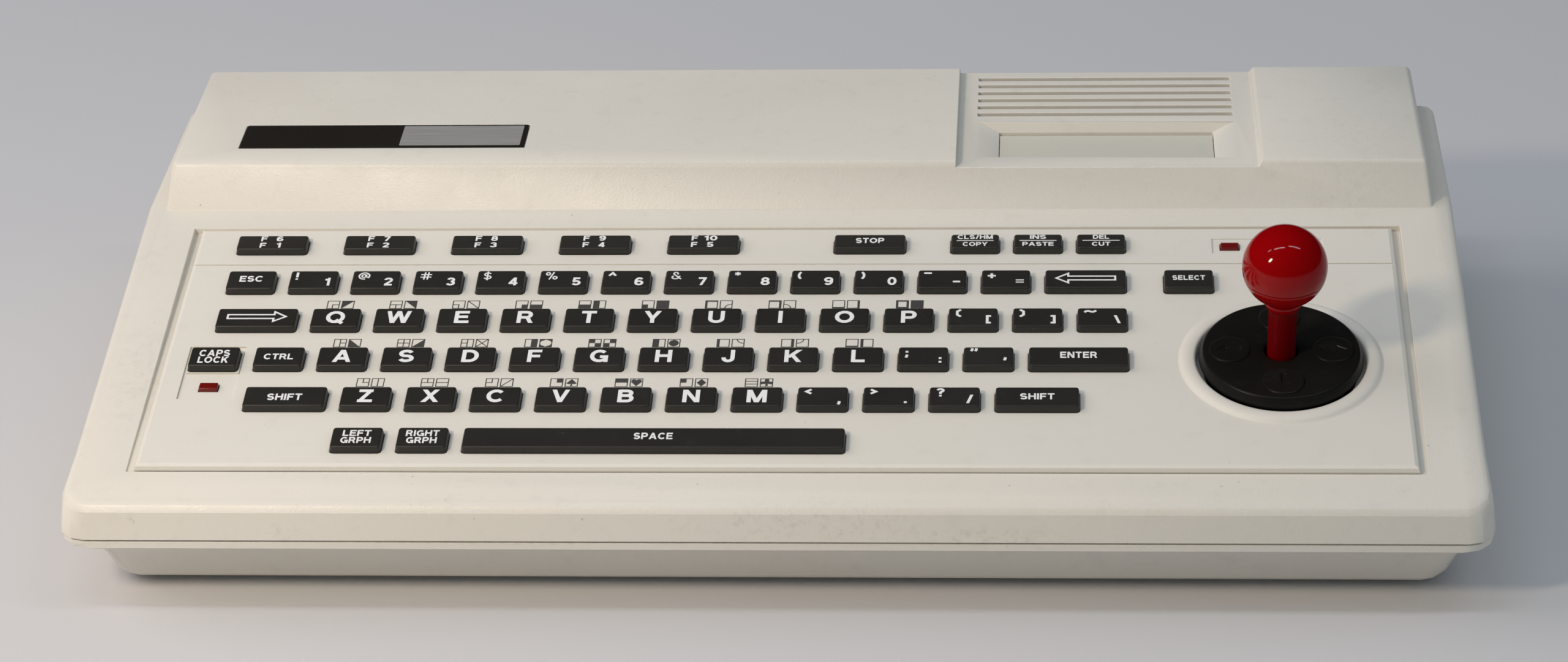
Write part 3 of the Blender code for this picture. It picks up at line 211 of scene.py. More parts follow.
def ramp_of(tree, value, low, high, out_low=0.0, out_high=1.0):
    """Map a value from one range to another, clamped."""
    return new_node(tree, "MapRange", Value=value, From_Min=low, From_Max=high, To_Min=out_low,
                    To_Max=out_high).outputs["Result"]


def maths(tree, operation, first, second):
    """A math node on two sockets or numbers."""
    node = new_node(tree, "Math")
    node.operation = operation
    for value, socket in zip((first, second), node.inputs):
        feed(tree, value, socket)
    return node.outputs[0]


def mixed(tree, factor, first, second):
    """A colour mix; each colour is a socket or three numbers."""
    node = new_node(tree, "Mix")
    node.data_type = "RGBA"
    feed(tree, factor, node.inputs["Factor"])
    for value, socket in zip((first, second), [s for s in node.inputs if s.type == "RGBA"]):
        feed(tree, value, socket)
    return [s for s in node.outputs if s.type == "RGBA"][0]


# Worn places: centre and half sizes of an ellipsoid in metres, share of the marks' colour
wear_spots = (((-0.1795, -0.098, 0.0305), (0.0035, 0.02, 0.0022), 0.8),
              ((-0.139, -0.098, 0.0265), (0.009, 0.02, 0.0035), 0.2),
              ((0.012, -0.098, 0.029), (0.05, 0.02, 0.007), 0.22),
              ((0.060, -0.098, 0.026), (0.03, 0.02, 0.004), 0.26),
              ((-0.075, -0.099, 0.0235), (0.05, 0.012, 0.0012), 0.4),
              ((0.172, 0.055, 0.060), (0.022, 0.03, 0.018), 0.14),
              ((-0.19, -0.03, 0.04), (0.012, 0.05, 0.01), 0.18))


def build_moulded_group():
    """Moulded plastic: slow tint drift, faint handling marks, tiny specks and a fine mould grain."""
    group, given, result = new_group("moulded_plastic", (
        ("Vector", "Vector"), ("Colour", "Color"), ("Tint", "Color"), ("Marks", "Color"),
        ("Drift Scale", "Float"), ("Grain Scale", "Float"), ("Speck Amount", "Float"),
        ("Roughness Base", "Float")), (("Colour", "Color"), ("Roughness", "Float"), ("Grain", "Float")))
    vector = given["Vector"]
    drift = ramp_of(group, noise_at(group, vector, given["Drift Scale"], 3.0), 0.35, 0.65)
    colour = mixed(group, maths(group, "MULTIPLY", drift, 0.5), given["Colour"], given["Tint"])
    mottle = ramp_of(group, noise_at(group, vector, 140.0, 4.0, 0.65), 0.56, 0.80, 0.0, 0.16)
    smudge = maths(group, "MULTIPLY", mottle, given["Speck Amount"])
    colour = mixed(group, smudge, colour, given["Marks"])
    fine = ramp_of(group, noise_at(group, vector, 620.0, 1.0, 0.4), 0.77, 0.83, 0.0, 0.8)
    where = ramp_of(group, noise_at(group, vector, 45.0, 1.0), 0.5, 0.66)
    specks = maths(group, "MULTIPLY", maths(group, "MULTIPLY", fine, where), given["Speck Amount"])
    colour = mixed(group, specks, colour, given["Marks"])
    for spot, size, amount in wear_spots:
        place = new_node(group, "Mapping", Vector=vector, Location=spot, Scale=size)
        place.vector_type = "TEXTURE"
        distance = new_node(group, "VectorMath", Vector=place.outputs["Vector"])
        distance.operation = "LENGTH"
        inside = ramp_of(group, distance.outputs["Value"], 0.55, 1.0, 1.0, 0.0)
        broken = ramp_of(group, noise_at(group, vector, 420.0, 3.0, 0.7), 0.50, 0.66, 0.0, amount)
        colour = mixed(group, maths(group, "MULTIPLY", inside, broken), colour, given["Marks"])
    group.links.new(colour, result["Colour"])
    wear = ramp_of(group, noise_at(group, vector, 30.0, 5.0, 0.6), 0.4, 0.7, -0.06, 0.05)
    group.links.new(maths(group, "ADD", given["Roughness Base"], wear), result["Roughness"])
    grain = maths(group, "ADD", noise_at(group, vector, given["Grain Scale"], 2.0, 0.6),
                  maths(group, "MULTIPLY", noise_at(group, vector, 260.0, 2.0), 0.6))
    group.links.new(grain, result["Grain"])
    return group


def build_board_group():
    """Printed board: lacquer over faint copper tracks that run in steps, with tinned dots."""
    group, given, result = new_group("board_tracks", (
        ("Vector", "Vector"), ("Lacquer", "Color"), ("Track", "Color"), ("Dot", "Color")),
        (("Colour", "Color"), ("Height", "Float")))
    brick = new_node(group, "TexBrick", Vector=given["Vector"], Scale=90.0, Mortar_Size=0.03,
                     Brick_Width=0.9, Row_Height=0.18)
    voronoi = new_node(group, "TexVoronoi", Vector=given["Vector"], Scale=330.0)
    dots = ramp_of(group, voronoi.outputs["Distance"], 0.16, 0.22, 1.0, 0.0)
    colour = mixed(group, brick.outputs["Fac"], given["Lacquer"], given["Track"])
    colour = mixed(group, maths(group, "MULTIPLY", dots, 0.6), colour, given["Dot"])
    group.links.new(colour, result["Colour"])
    group.links.new(maths(group, "ADD", brick.outputs["Fac"], dots), result["Height"])
    return group


moulded_group = build_moulded_group()
board_group = build_board_group()


def new_material(name, roughness, metallic=0.0, specular=0.5):
    """A material with its Principled shader and object coordinates."""
    material = bpy.data.materials.new(name)
    material.use_nodes = True
    tree = material.node_tree
    shader = tree.nodes["Principled BSDF"].inputs
    for label, value in (("Roughness", roughness), ("Metallic", metallic), ("Specular IOR Level", specular)):
        shader[label].default_value = value
    return material, tree, shader, new_node(tree, "TexCoord").outputs["Object"]


def add_bump(tree, shader, height, distance):
    """Feed a height in metres into the shader's normal."""
    bump = new_node(tree, "Bump", Height=height, Distance=distance, Strength=1.0)
    tree.links.new(bump.outputs["Normal"], shader["Normal"])


def plastic(name, colour, tint, marks, roughness, grain_scale, grain_depth, specks, drift=9.0, specular=0.5):
    """A moulded plastic finish from the shared group."""
    material, tree, shader, vector = new_material(name, roughness, 0.0, specular)
    finish = group_node(tree, moulded_group, (
        ("Vector", vector), ("Colour", colour), ("Tint", tint), ("Marks", marks), ("Drift Scale", drift),
        ("Grain Scale", grain_scale), ("Speck Amount", specks), ("Roughness Base", roughness)))
    tree.links.new(finish["Colour"], shader["Base Color"])
    tree.links.new(finish["Roughness"], shader["Roughness"])
    add_bump(tree, shader, finish["Grain"], grain_depth)
    return material


def metal(name, colour, roughness, brush_scale, metallic=0.45):
    """Plated or brushed metal: noise stretched along X as fine brushing."""
    material, tree, shader, vector = new_material(name, roughness, metallic)
    stretched = new_node(tree, "Mapping", Vector=vector, Scale=(0.04, 1.0, 1.0)).outputs["Vector"]
    brushing = noise_at(tree, stretched, brush_scale, 3.0)
    darker = tuple(c * 0.8 for c in colour)
    tree.links.new(mixed(tree, brushing, darker, colour), shader["Base Color"])
    tree.links.new(ramp_of(tree, brushing, 0.3, 0.7, roughness - 0.06, roughness + 0.1), shader["Roughness"])
    add_bump(tree, shader, brushing, 0.00001)
    return material


# Colour, tint, colour of the marks; roughness, scale of the grain, its depth in metres, share of specks
case_plastic = plastic("case_plastic", (0.715, 0.675, 0.595), (0.695, 0.648, 0.558), (0.40, 0.36, 0.30),
                       0.44, 1500.0, 0.00006, 0.95)
# The tub's plastic is the case plastic made about a tenth brighter: painted light for the floor's glow on the
# tub's down-facing sides.
tub_painted_light_plastic = plastic("tub_painted_light_plastic", (0.785, 0.745, 0.665), (0.765, 0.718, 0.63), (0.40, 0.36, 0.30),
                      0.44, 1500.0, 0.00006, 0.95)
plate_plastic = plastic("plate_plastic", (0.715, 0.678, 0.602), (0.700, 0.658, 0.575), (0.42, 0.38, 0.32),
                        0.48, 2600.0, 0.000018, 0.7)
door_plastic = plastic("door_plastic", (0.60, 0.575, 0.49), (0.57, 0.535, 0.44), (0.34, 0.30, 0.24),
                       0.5, 2200.0, 0.00002, 0.6)
key_plastic = plastic("key_plastic", (0.0195, 0.0182, 0.0156), (0.024, 0.0225, 0.0195), (0.11, 0.10, 0.085),
                      0.5, 2400.0, 0.000014, 0.5, 30.0)
disc_plastic = plastic("disc_plastic", (0.0082, 0.0079, 0.0068), (0.0105, 0.0101, 0.0088), (0.10, 0.10, 0.09),
                       0.38, 1500.0, 0.000014, 0.4, 40.0, specular=0.17)
black_plastic = plastic("black_plastic", (0.0095, 0.009, 0.009), (0.013, 0.0125, 0.012), (0.08, 0.08, 0.075),
                        0.42, 1800.0, 0.00002, 0.3, 30.0, specular=0.25)
print_white = plastic("print_white", (0.82, 0.82, 0.80), (0.77, 0.76, 0.73), (0.35, 0.33, 0.30),
                      0.5, 3000.0, 0.000003, 0.5, 60.0)
print_grey = plastic("print_grey", (0.060, 0.058, 0.054), (0.07, 0.068, 0.063), (0.3, 0.28, 0.25),
                     0.55, 3000.0, 0.000003, 0.4, 60.0)
ball_plastic = plastic("ball_plastic", (0.262, 0.001, 0.002), (0.225, 0.0009, 0.0017), (0.16, 0.002, 0.003),
                       0.12, 900.0, 0.0000012, 0.25, 25.0, specular=0.24)
# The stem's plastic is the ball's red at about half its brightness: painted shade for the stem's place under
# the ball.
stem_painted_shade_plastic = plastic("stem_painted_shade_plastic", (0.135, 0.0009, 0.0018), (0.115, 0.0008, 0.0015), (0.08, 0.002, 0.002),
                       0.2, 900.0, 0.000003, 0.25, 25.0, specular=0.2)
rubber = plastic("rubber", (0.022, 0.022, 0.022), (0.03, 0.03, 0.03), (0.12, 0.12, 0.12),
                 0.85, 1200.0, 0.00004, 0.6, 50.0)
lens_red = plastic("lens_red", (0.150, 0.006, 0.005), (0.120, 0.005, 0.004), (0.05, 0.003, 0.003),
                   0.22, 900.0, 0.000004, 0.2, 200.0)
ribbon_plastic = plastic("ribbon_plastic", (0.42, 0.42, 0.40), (0.36, 0.36, 0.34), (0.2, 0.2, 0.2),
                         0.6, 1200.0, 0.00002, 0.3)
bright_metal = metal("bright_metal", (0.66, 0.65, 0.62), 0.3, 900.0)
gold_metal = metal("gold_metal", (0.80, 0.58, 0.22), 0.25, 900.0)
badge_black = plastic("badge_black", (0.0175, 0.0152, 0.0122), (0.021, 0.0185, 0.015), (0.07, 0.065, 0.055),
                      0.45, 1800.0, 0.000008, 0.3, 30.0, specular=0.1)
badge_field = metal("badge_field", (0.53, 0.515, 0.49), 0.5, 1400.0)

board_laminate, board_tree, board_shader, board_vector = new_material("board_laminate", 0.4)
board_finish = group_node(board_tree, board_group, (
    ("Vector", board_vector), ("Lacquer", (0.02, 0.12, 0.05)), ("Track", (0.06, 0.24, 0.09)),
    ("Dot", (0.6, 0.58, 0.52))))
board_tree.links.new(board_finish["Colour"], board_shader["Base Color"])
add_bump(board_tree, board_shader, board_finish["Height"], 0.00003)

node_finish = {
    "upper_case": case_plastic, "lower_case": tub_painted_light_plastic, "key_plate": plate_plastic,
    "cartridge_door": door_plastic, "badge_plate": badge_black, "door_pin": bright_metal,
    "gimbal_ring": bright_metal, "signal_shield": bright_metal, "contact_mat": rubber,
    "keyboard_board": board_laminate, "main_board": board_laminate, "keyboard_ribbon": ribbon_plastic,
}
for node_name, node in frame["nodes"].items():
    finish = node_finish.get(node_name, black_plastic)
    if node_name.startswith("case_screw"):
        finish = bright_metal
    elif node_name.startswith("foot_"):
        finish = rubber
    node.data.materials.clear()
    node.data.materials.append(finish)


def body_of_node(node_name):
    """Name of the body that holds a node."""
    return [b for b, names in frame["record"]["behaviour"]["bodies"].items() if node_name in names][0]


# Metres: joining triangles, the slits in the tub's corners, where the tub narrows
merge_distance = 0.00002
lip_length, lip_fold, lip_distance = 0.01, math.radians(130), 0.0007
tub_flat, tub_blend, tub_widest, tub_top = 0.178, 0.014, 0.202, 0.0213


def rounded_copy(node_name, material, width, angle=28, clamp=False, widen=0.0, narrow=0.0,
                 sharp=None, flatness=0.6):
    """A merged copy of a node whose edges a Bevel modifier rounds; it stands for the node.

    widen moves both ends out along x; narrow moves the tub's ends in, along a smooth step from tub_flat.
    """
    mesh = frame["nodes"][node_name].data.copy()
    bm = bmesh.new()
    bm.from_mesh(mesh)
    bmesh.ops.remove_doubles(bm, verts=bm.verts, dist=merge_distance)
    bmesh.ops.dissolve_limit(bm, angle_limit=math.radians(flatness), verts=bm.verts, edges=bm.edges)
    if widen:
        xs = [v.co.x for v in bm.verts]
        middle_x, half_x = (min(xs) + max(xs)) / 2, (max(xs) - min(xs)) / 2
        for v in bm.verts:
            v.co.x = middle_x + (v.co.x - middle_x) * (half_x + widen) / half_x
    if narrow:
        # The solid has a hair-thin slit down each leaning corner: its two lips are drawn together
        bm.verts.index_update()
        lips = {v for e in bm.edges if len(e.link_faces) == 2 and e.calc_length() > lip_length
                and e.calc_face_angle() > lip_fold for v in e.verts}
        bmesh.ops.remove_doubles(bm, verts=sorted(lips, key=lambda v: v.index), dist=lip_distance)
        for v in bm.verts:
            share = min(max((abs(v.co.x) - tub_flat) / tub_blend, 0.0), 1.0)
            if v.co.z < tub_top and abs(v.co.x) < tub_widest:
                v.co.x -= math.copysign(narrow * share * share * (3 - 2 * share), v.co.x)
    bm.to_mesh(mesh)
    bm.free()
    mesh.materials.clear()
    mesh.materials.append(material)
    mesh.shade_smooth()
    mesh.set_sharp_from_angle(angle=math.radians(sharp or angle))
    thing = added(node_name + "_shell", mesh)
    rounding = thing.modifiers.new("rounding", "BEVEL")
    rounding.width = width
    rounding.segments = 2
    rounding.limit_method = "ANGLE"
    rounding.angle_limit = math.radians(angle)
    rounding.use_clamp_overlap = clamp
    rounding.harden_normals = True
    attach(thing, body_of_node(node_name))
    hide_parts(node_name)


rounded_copy("upper_case", case_plastic, 0.0003)
rounded_copy("lower_case", tub_painted_light_plastic, 0.0003, angle=60, narrow=0.0019, sharp=32,
             flatness=0.02)
rounded_copy("key_plate", plate_plastic, 0.0001, sharp=6)
small_widths = {"cartridge_door": 0.0003, "switch_frame": 0.0003, "power_rocker": 0.0004}
small_widths.update((node_name, 0.0002) for node_name in (
    "video_socket", "tape_socket", "expansion_socket", "power_inlet", "joystick_port_1", "joystick_port_2"))
small_widths.update((node_name, 0.0004) for node_name in sorted(frame["nodes"])
                    if node_name.startswith(("foot_", "case_screw")))
for node_name, width in small_widths.items():
    finish = frame["nodes"][node_name].data.materials[0]
    is_door = node_name == "cartridge_door"
    rounded_copy(node_name, finish, width, clamp=True, widen=0.0002 if is_door else 0.0)

# Key caps in plate millimetres: row, left edge of the first one in pitches, width, number of caps
# (the F row's caps are less deep in the photo)
wide_key, tab_key, enter_key, space_key = 21.95, 24.4, 29.3, 110.0
row_fronts = {"f": -13.9}
row_fronts.update({row: -34.2 - row * key_pitch for row in range(5)})
caps = {}
for name, row, first, width, count in (
        ("key_f1", "f", 0, wide_key, 1), ("key_f2", "f", 1.743, wide_key, 1),
        ("key_f3", "f", 3.486, wide_key, 1), ("key_f4", "f", 5.229, wide_key, 1),
        ("key_f5", "f", 6.972, wide_key, 1), ("key_stop", "f", 9.638, wide_key, 1),
        ("key_clear", "f", 11.5, key_width, 1), ("key_insert", "f", 12.5, key_width, 1),
        ("key_delete", "f", 13.5, key_width, 1), ("key_escape", 0, 0, key_width, 1),
        ("keys_digit_row", 0, 1, key_width, 12), ("key_backspace", 0, 13, tab_key, 1),
        ("key_select", 0, 14.86, key_width, 1), ("key_tab", 1, 0, tab_key, 1),
        ("keys_upper_row", 1, 1.5, key_width, 13), ("key_caps_lock", 2, -0.26, key_width, 1),
        ("key_control", 2, 0.755, key_width, 1), ("keys_middle_row", 2, 1.75, key_width, 11),
        ("key_enter", 2, 12.75, enter_key, 1), ("key_shift_left", 3, 0.755, tab_key, 1),
        ("keys_lower_row", 3, 2.25, key_width, 10), ("key_shift_right", 3, 12.25, tab_key, 1),
        ("key_graph_left", 4, 2.25, key_width, 1), ("key_graph_right", 4, 3.25, key_width, 1),
        ("key_space", 4, 4.25, space_key, 1)):
    caps[name] = row, tuple(first + i for i in range(count)), width
cap_depths = {"f": 7.5}
edge, draft, base_corner = 0.5, 0.22, 1.1
cap_foot, flange_low, flange_high, flange_out = -3.5, -3.1, -2.3, 1.0
round_over = [(draft + edge * (1 - math.cos(t)), key_top - edge + edge * math.sin(t))
              for t in np.linspace(0.15, math.pi / 2, 5)]
cap_profile = [(0.0, cap_foot), (0.0, flange_low), (-flange_out, flange_low), (-flange_out, flange_high),
               (0.0, flange_high), (0.0, -0.2), (draft, key_top - edge)]
cap_profile += round_over + [(draft + edge + 0.12, key_top)]
hole_gap, rim_gap, rim_lap, rim_low, rim_high = 0.3, 0.08, 0.2, -1.6, 0.015


def cap_middle(share, width):
    """Middle of a cap in x, from its left edge in pitches and its width."""
    return first_key + share * key_pitch + width / 2


def rim_part(middle_x, front, half_x, depth):
    """A thin collar that leads from the plate's hole to just beside the cap, rounded at its inner edge."""
    lap = hole_gap + rim_lap
    outer = rounded_outline(half_x + lap, key_depth / 2 + lap, 0.3) + (middle_x, front + key_depth / 2)
    rings = [(outer, rim_low), (outer, rim_high)]
    for gap, height in ((hole_gap, rim_high), (0.17, -0.02), (rim_gap, -0.14), (rim_gap, rim_low)):
        rings.append((rounded_outline(half_x + gap, depth / 2 + gap, base_corner + gap)
                      + (middle_x, front + depth / 2), height))
    rings.append(rings[0])
    points = [np.column_stack([outline, np.full(len(outline), height)]) for outline, height in rings]
    return np.vstack(points), quad_grid(len(rings), len(outer), True)


rims = []
for key_name, (row, shares, width) in caps.items():
    depth = cap_depths.get(row, key_depth)
    blocks = []
    for share in shares:
        middle_x = cap_middle(share, width)
        blocks.append(stepped_block((middle_x, row_fronts[row] + depth / 2), width / 2, depth / 2,
                                    base_corner, cap_profile))
        rims.append(rim_part(middle_x, row_fronts[row], width / 2, depth))
    cap = piece(key_name + "_cap", blocks, key_plastic, key_name, sharp=50)
    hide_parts(key_name)
piece("key_collars", rims, plate_plastic, "case", sharp=50)

# Lettering: width, then strokes in a cap height of 1, split by bars. A stroke that starts with a slash
# has its ends cut level, one with a tilde is thinner; brackets hold an arc's centre, radii and angles.
letter_line, sign_line, thin_share = 0.215, 0.21, 0.62
print_height, print_step = key_top + 0.02, 0.004


def table_of(rows):
    """A table written as text: first word and rest of each row; a row that ends with a bar goes on."""
    return dict(row.split(" ", 1) for row in rows.strip("\n").replace("|\n", "|").split("\n"))


glyphs = table_of(r"""
A .94 /.11,0 .47,1|/.83,0 .47,1|.24,.3 .7,.3
B .79 .1,0 .1,1|.1,.905 .44,.905 (.44,.72,.21,.185,90,-90) .1,.535|
.1,.525 .47,.525 (.47,.31,.22,.215,90,-90) .1,.095
C .87 (.47,.5,.37,.405,42,318)
D .84 .1,0 .1,1|.1,.905 .38,.905 (.38,.5,.36,.405,90,-90) .1,.095
E .74 .1,0 .1,1|.1,.905 .74,.905|.1,.52 .68,.52|.1,.095 .75,.095
F .7 .1,0 .1,1|.1,.905 .7,.905|.1,.49 .63,.49
G .9 (.47,.5,.37,.405,45,342)|.5,.44 .81,.44 .81,0
H .83 .1,0 .1,1|.73,0 .73,1|.1,.52 .73,.52
I .2 .1,0 .1,1
J .64 .54,1 .54,.32 (.32,.32,.22,.23,0,-180) .1,.38
K .85 .1,0 .1,1|/.16,.36 .73,1|/.73,0 .38,.58
L .68 .1,0 .1,1|.1,.095 .68,.095
M .98 .1,0 .1,1|.88,0 .88,1|/.49,0 .13,1|/.49,0 .85,1
N .84 .1,0 .1,1|.74,0 .74,1|/.72,0 .12,1
O .96 (.48,.5,.385,.405,0,360)
P .77 .1,0 .1,1|.1,.905 .45,.905 (.45,.67,.225,.235,90,-90) .1,.435
Q .96 (.48,.5,.385,.405,0,360)|.52,.28 .88,-.03
R .83 .1,0 .1,1|.1,.905 .46,.905 (.46,.685,.22,.22,90,-90) .1,.465|/.72,0 .52,.47
S .78 (.38,.7,.27,.205,20,250) (.40,.3,.29,.205,80,-162)
T .76 .38,0 .38,1|0,.905 .76,.905
U .82 .1,1 .1,.36 (.41,.36,.31,.265,180,360) .72,1
V .88 /.44,0 .11,1|/.44,0 .77,1
W 1.26 /.34,0 .11,1|/.34,0 .63,1|/.92,0 .63,1|/.92,0 1.15,1
X .86 /.11,0 .74,1|/.75,0 .12,1
Y .86 .43,0 .43,.42|/.43,.36 .11,1|/.43,.36 .75,1
Z .8 .05,.905 .76,.905|.03,.095 .78,.095|/.14,.05 .65,.95
1 .46 .33,0 .33,1|.04,.76 .33,.76
2 .68 (.33,.69,.24,.215,172,-32) .12,.12|.05,.095 .66,.095
3 .68 (.33,.705,.22,.2,165,-90)|(.33,.3,.25,.21,90,-165)
4 .74 .52,0 .52,1|/.13,.28 .52,1|.04,.27 .73,.27
5 .68 .62,.905 .19,.905 .15,.52 (.34,.32,.25,.225,128,-160)
6 .7 (.35,.31,.25,.215,0,360)|(.37,.5,.27,.405,42,195)
7 .66 .03,.905 .64,.905|/.24,0 .57,.95
8 .7 (.35,.7,.21,.2,0,360)|(.35,.3,.25,.21,0,360)
9 .7 (.35,.69,.25,.215,0,360)|(.33,.5,.27,.405,-138,15)
0 .7 (.35,.5,.25,.41,0,360)
! .2 .1,.33 .1,1|.1,0 .1,.19
@ 1 ~(.5,.5,.43,.43,-40,285)|~(.47,.5,.17,.19,0,360)|~.68,.7 .66,.36 (.79,.45,.12,.12,220,350)
# .92 ~.3,0 .36,1|~.58,0 .64,1|~.02,.68 .92,.68|~0,.33 .9,.33
$ .74 ~(.37,.7,.25,.2,20,250) (.38,.3,.27,.2,80,-162)|~.37,-.1 .37,1.1
% 1 ~(.2,.77,.15,.18,0,360)|~(.78,.23,.15,.18,0,360)|~.32,0 .66,1
^ .66 .06,.5 .33,.88 .6,.5
& .86 ~(.37,.77,.17,.17,-40,220) .82,.03|~(.35,.28,.27,.21,125,380) .74,.46
* .56 ~.28,.5 .28,1|~.06,.63 .5,.87|~.06,.87 .5,.63
( .4 (.46,.5,.33,.5,118,242)
) .4 (-.06,.5,.33,.5,62,-62)
_ .62 0,.8 .62,.8
- .56 0,.42 .56,.42
+ .66 .33,.1 .33,.76|0,.43 .66,.43
= .62 ~0,.62 .62,.62|~0,.34 .62,.34
[ .4 .38,.92 .1,.92 .1,.08 .38,.08
] .4 0,.92 .28,.92 .28,.08 0,.08
{ .44 .42,.94 .14,.72 .14,.28 .42,.06
} .44 0,.94 .28,.72 .28,.28 0,.06
~ .9 0,.6 .14,.76 .3,.78 .56,.66 .74,.68 .9,.84
\ .5 /.40,0 .10,1
/ .5 /.10,0 .40,1
: .2 .1,0 .1,.22|.1,.45 .1,.67
; .24 .12,.45 .12,.67|.12,.2 .12,0 .04,-.16
' .24 .12,.66 .12,.46 .04,.3
" .56 .12,1 .12,.8 .04,.64|.44,1 .44,.8 .36,.64
< .52 .5,.86 .12,.6 .5,.34
> .52 .02,.86 .4,.6 .02,.34
, .24 .12,.22 .12,0 .04,-.16
. .22 .11,0 .11,.22
? .62 (.3,.74,.21,.17,170,-50) .3,.5 .3,.3|.3,0 .3,.19
""")
glyphs = {letter: row.split(" ", 1) for letter, row in glyphs.items()}


def stroke_points(text):
    """Centre line of one stroke from its words: points, and arcs in brackets."""
    rows = []
    for word in text.split():
        if word.startswith("("):
            rows.append(arc_points(*[float(n) for n in word[1:-1].split(",")]))
        else:
            rows.append(np.array([[float(n) for n in word.split(",")]]))
    line = np.vstack(rows)
    moved = np.linalg.norm(np.diff(line, axis=0), axis=1) > 1e-6
    return line[np.concatenate([[True], moved])]


def ribbon(line, width):
    """A flat strip: each point of the line moved half the width to both sides along the mitre.

    Mitre = (a + b) / ((a + b) . a), with a and b the sides' normals; a closed line gives a closed strip.
    """
    closed = np.allclose(line[0], line[-1])
    if closed:
        line = line[:-1]
        ahead, behind = np.roll(line, -1, 0) - line, line - np.roll(line, 1, 0)
    else:
        step = np.diff(line, axis=0)
        ahead, behind = np.vstack([step, step[-1:]]), np.vstack([step[:1], step])
    ahead = ahead / np.linalg.norm(ahead, axis=1)[:, None]
    behind = behind / np.linalg.norm(behind, axis=1)[:, None]
    side_a = np.stack([-ahead[:, 1], ahead[:, 0]], -1)
    side_b = np.stack([-behind[:, 1], behind[:, 0]], -1)
    mitre = side_a + side_b
    mitre = mitre / np.maximum((mitre * side_a).sum(1), 0.35)[:, None]
    left, right = line + mitre * width / 2, line - mitre * width / 2
    points = np.stack([right, left], axis=1).reshape(-1, 2)
    faces = quad_grid(len(line) + (1 if closed else 0), 2, False)
    return points, [[i % len(points) for i in face] for face in faces]


def level_stroke(line, width):
    """A slanted bar whose ends are cut level."""
    (x0, y0), (x1, y1) = line
    half = width / 2 * math.hypot(x1 - x0, y1 - y0) / abs(y1 - y0)
    return np.array([[x0 - half, y0], [x0 + half, y0], [x1 + half, y1], [x1 - half, y1]]), [[0, 1, 2, 3]]


def flat_parts(points, faces, height):
    """A flat figure at a height, with every face turned upwards."""
    points = np.asarray(points, float)
    turned_faces = []
    for face in faces:
        p = points[face]
        area = np.sum(p[:, 0] * np.roll(p[:, 1], -1) - np.roll(p[:, 0], -1) * p[:, 1])
        turned_faces.append(face if area > 0 else face[::-1])
    return np.column_stack([points, np.full(len(points), height)]), turned_faces


def stroke_part(text, origin, scale, height, thickness):
    """One stroke of a glyph as a flat figure at its place."""
    if text.startswith("/"):
        points, faces = level_stroke(stroke_points(text[1:]), thickness)
    elif text.startswith("~"):
        points, faces = ribbon(stroke_points(text[1:]), thickness * thin_share)
    else:
        points, faces = ribbon(stroke_points(text), thickness)
    return flat_parts(points * np.asarray(scale) + np.asarray(origin), faces, height)


def words(text, x, v, size, wide=None, anchor=0.5, thickness=letter_line, spacing=0.12):
    """A line of lettering: x of its anchor share, v of its foot, cap height and width, if given."""
    stretch = 1.0
    if wide:
        stretch = (wide / size - spacing * (len(text) - 1)) / sum(float(glyphs[c][0]) for c in text)
    widths = [float(glyphs[c][0]) * stretch for c in text]
    total = (sum(widths) + spacing * (len(text) - 1)) * size
    at = x - total * anchor
    parts = []
    for letter, width in zip(text, widths):
        for number, stroke in enumerate(glyphs[letter][1].split("|")):
            parts.append(stroke_part(stroke, (at, v), (size * stretch, size),
                                     print_height + print_step * number, thickness))
        at += (width + spacing) * size
    return parts


def line_part(points, width, height):
    """A thin printed line along points in plate millimetres."""
    return flat_parts(*ribbon(np.asarray(points, float), width), height)


legends = {name: [] for name in caps}
for number in range(5):
    name = "key_f%d" % (number + 1)
    middle = cap_middle(caps[name][1][0], wide_key)
    for digits, foot in ((str(number + 6), 4.25), (str(number + 1), 0.9)):
        wide = 1.5 if digits == "1" else 2.05 * len(digits)
        legends[name] += words("F", middle - 2.75, row_fronts["f"] + foot, 2.5, 1.9)
        legends[name] += words(digits, middle + 2.1, row_fronts["f"] + foot, 2.5, wide)
for name, upper, lower in (("key_clear", "CLS/HM", "COPY"), ("key_insert", "INS", "PASTE"),
                           ("key_delete", "DEL", "CUT")):
    middle = cap_middle(caps[name][1][0], key_width)
    rule = row_fronts["f"] + 3.9
    legends[name] = words(upper, middle, row_fronts["f"] + 4.75, 2.0, 1.95 * len(upper) - 1.0)
    legends[name] += words(lower, middle, row_fronts["f"] + 1.15, 2.0, 1.95 * len(lower) - 0.3)
    legends[name].append(line_part([(middle - 5.6, rule), (middle + 5.6, rule)], 0.35, print_height))
# Single words: key, word, height of its foot over the key's front edge, cap height, width
for name, word, lift, size, wide in (
        ("key_stop", "STOP", 2.75, 2.6, 8.6), ("key_escape", "ESC", 3.65, 2.9, 7.1),
        ("key_select", "SELECT", 4.0, 2.3, 9.7), ("key_caps_lock", "CAPS", 4.7, 3.05, 9.1),
        ("key_caps_lock", "LOCK", 1.5, 3.0, 9.1), ("key_control", "CTRL", 3.2, 2.7, 8.8),
        ("key_enter", "ENTER", 3.9, 2.95, 10.7), ("key_shift_left", "SHIFT", 2.8, 3.0, 10.25),
        ("key_shift_right", "SHIFT", 3.4, 2.8, 9.9), ("key_graph_left", "LEFT", 5.15, 2.7, 8.2),
        ("key_graph_left", "GRPH", 1.95, 2.7, 8.8), ("key_graph_right", "RIGHT", 5.15, 2.7, 9.6),
        ("key_graph_right", "GRPH", 1.95, 2.7, 8.8), ("key_space", "SPACE", 3.9, 2.9, 11.2)):
    row, shares, width = caps[name]
    legends[name] += words(word, cap_middle(shares[0], width), row_fronts[row] + lift, size, wide)


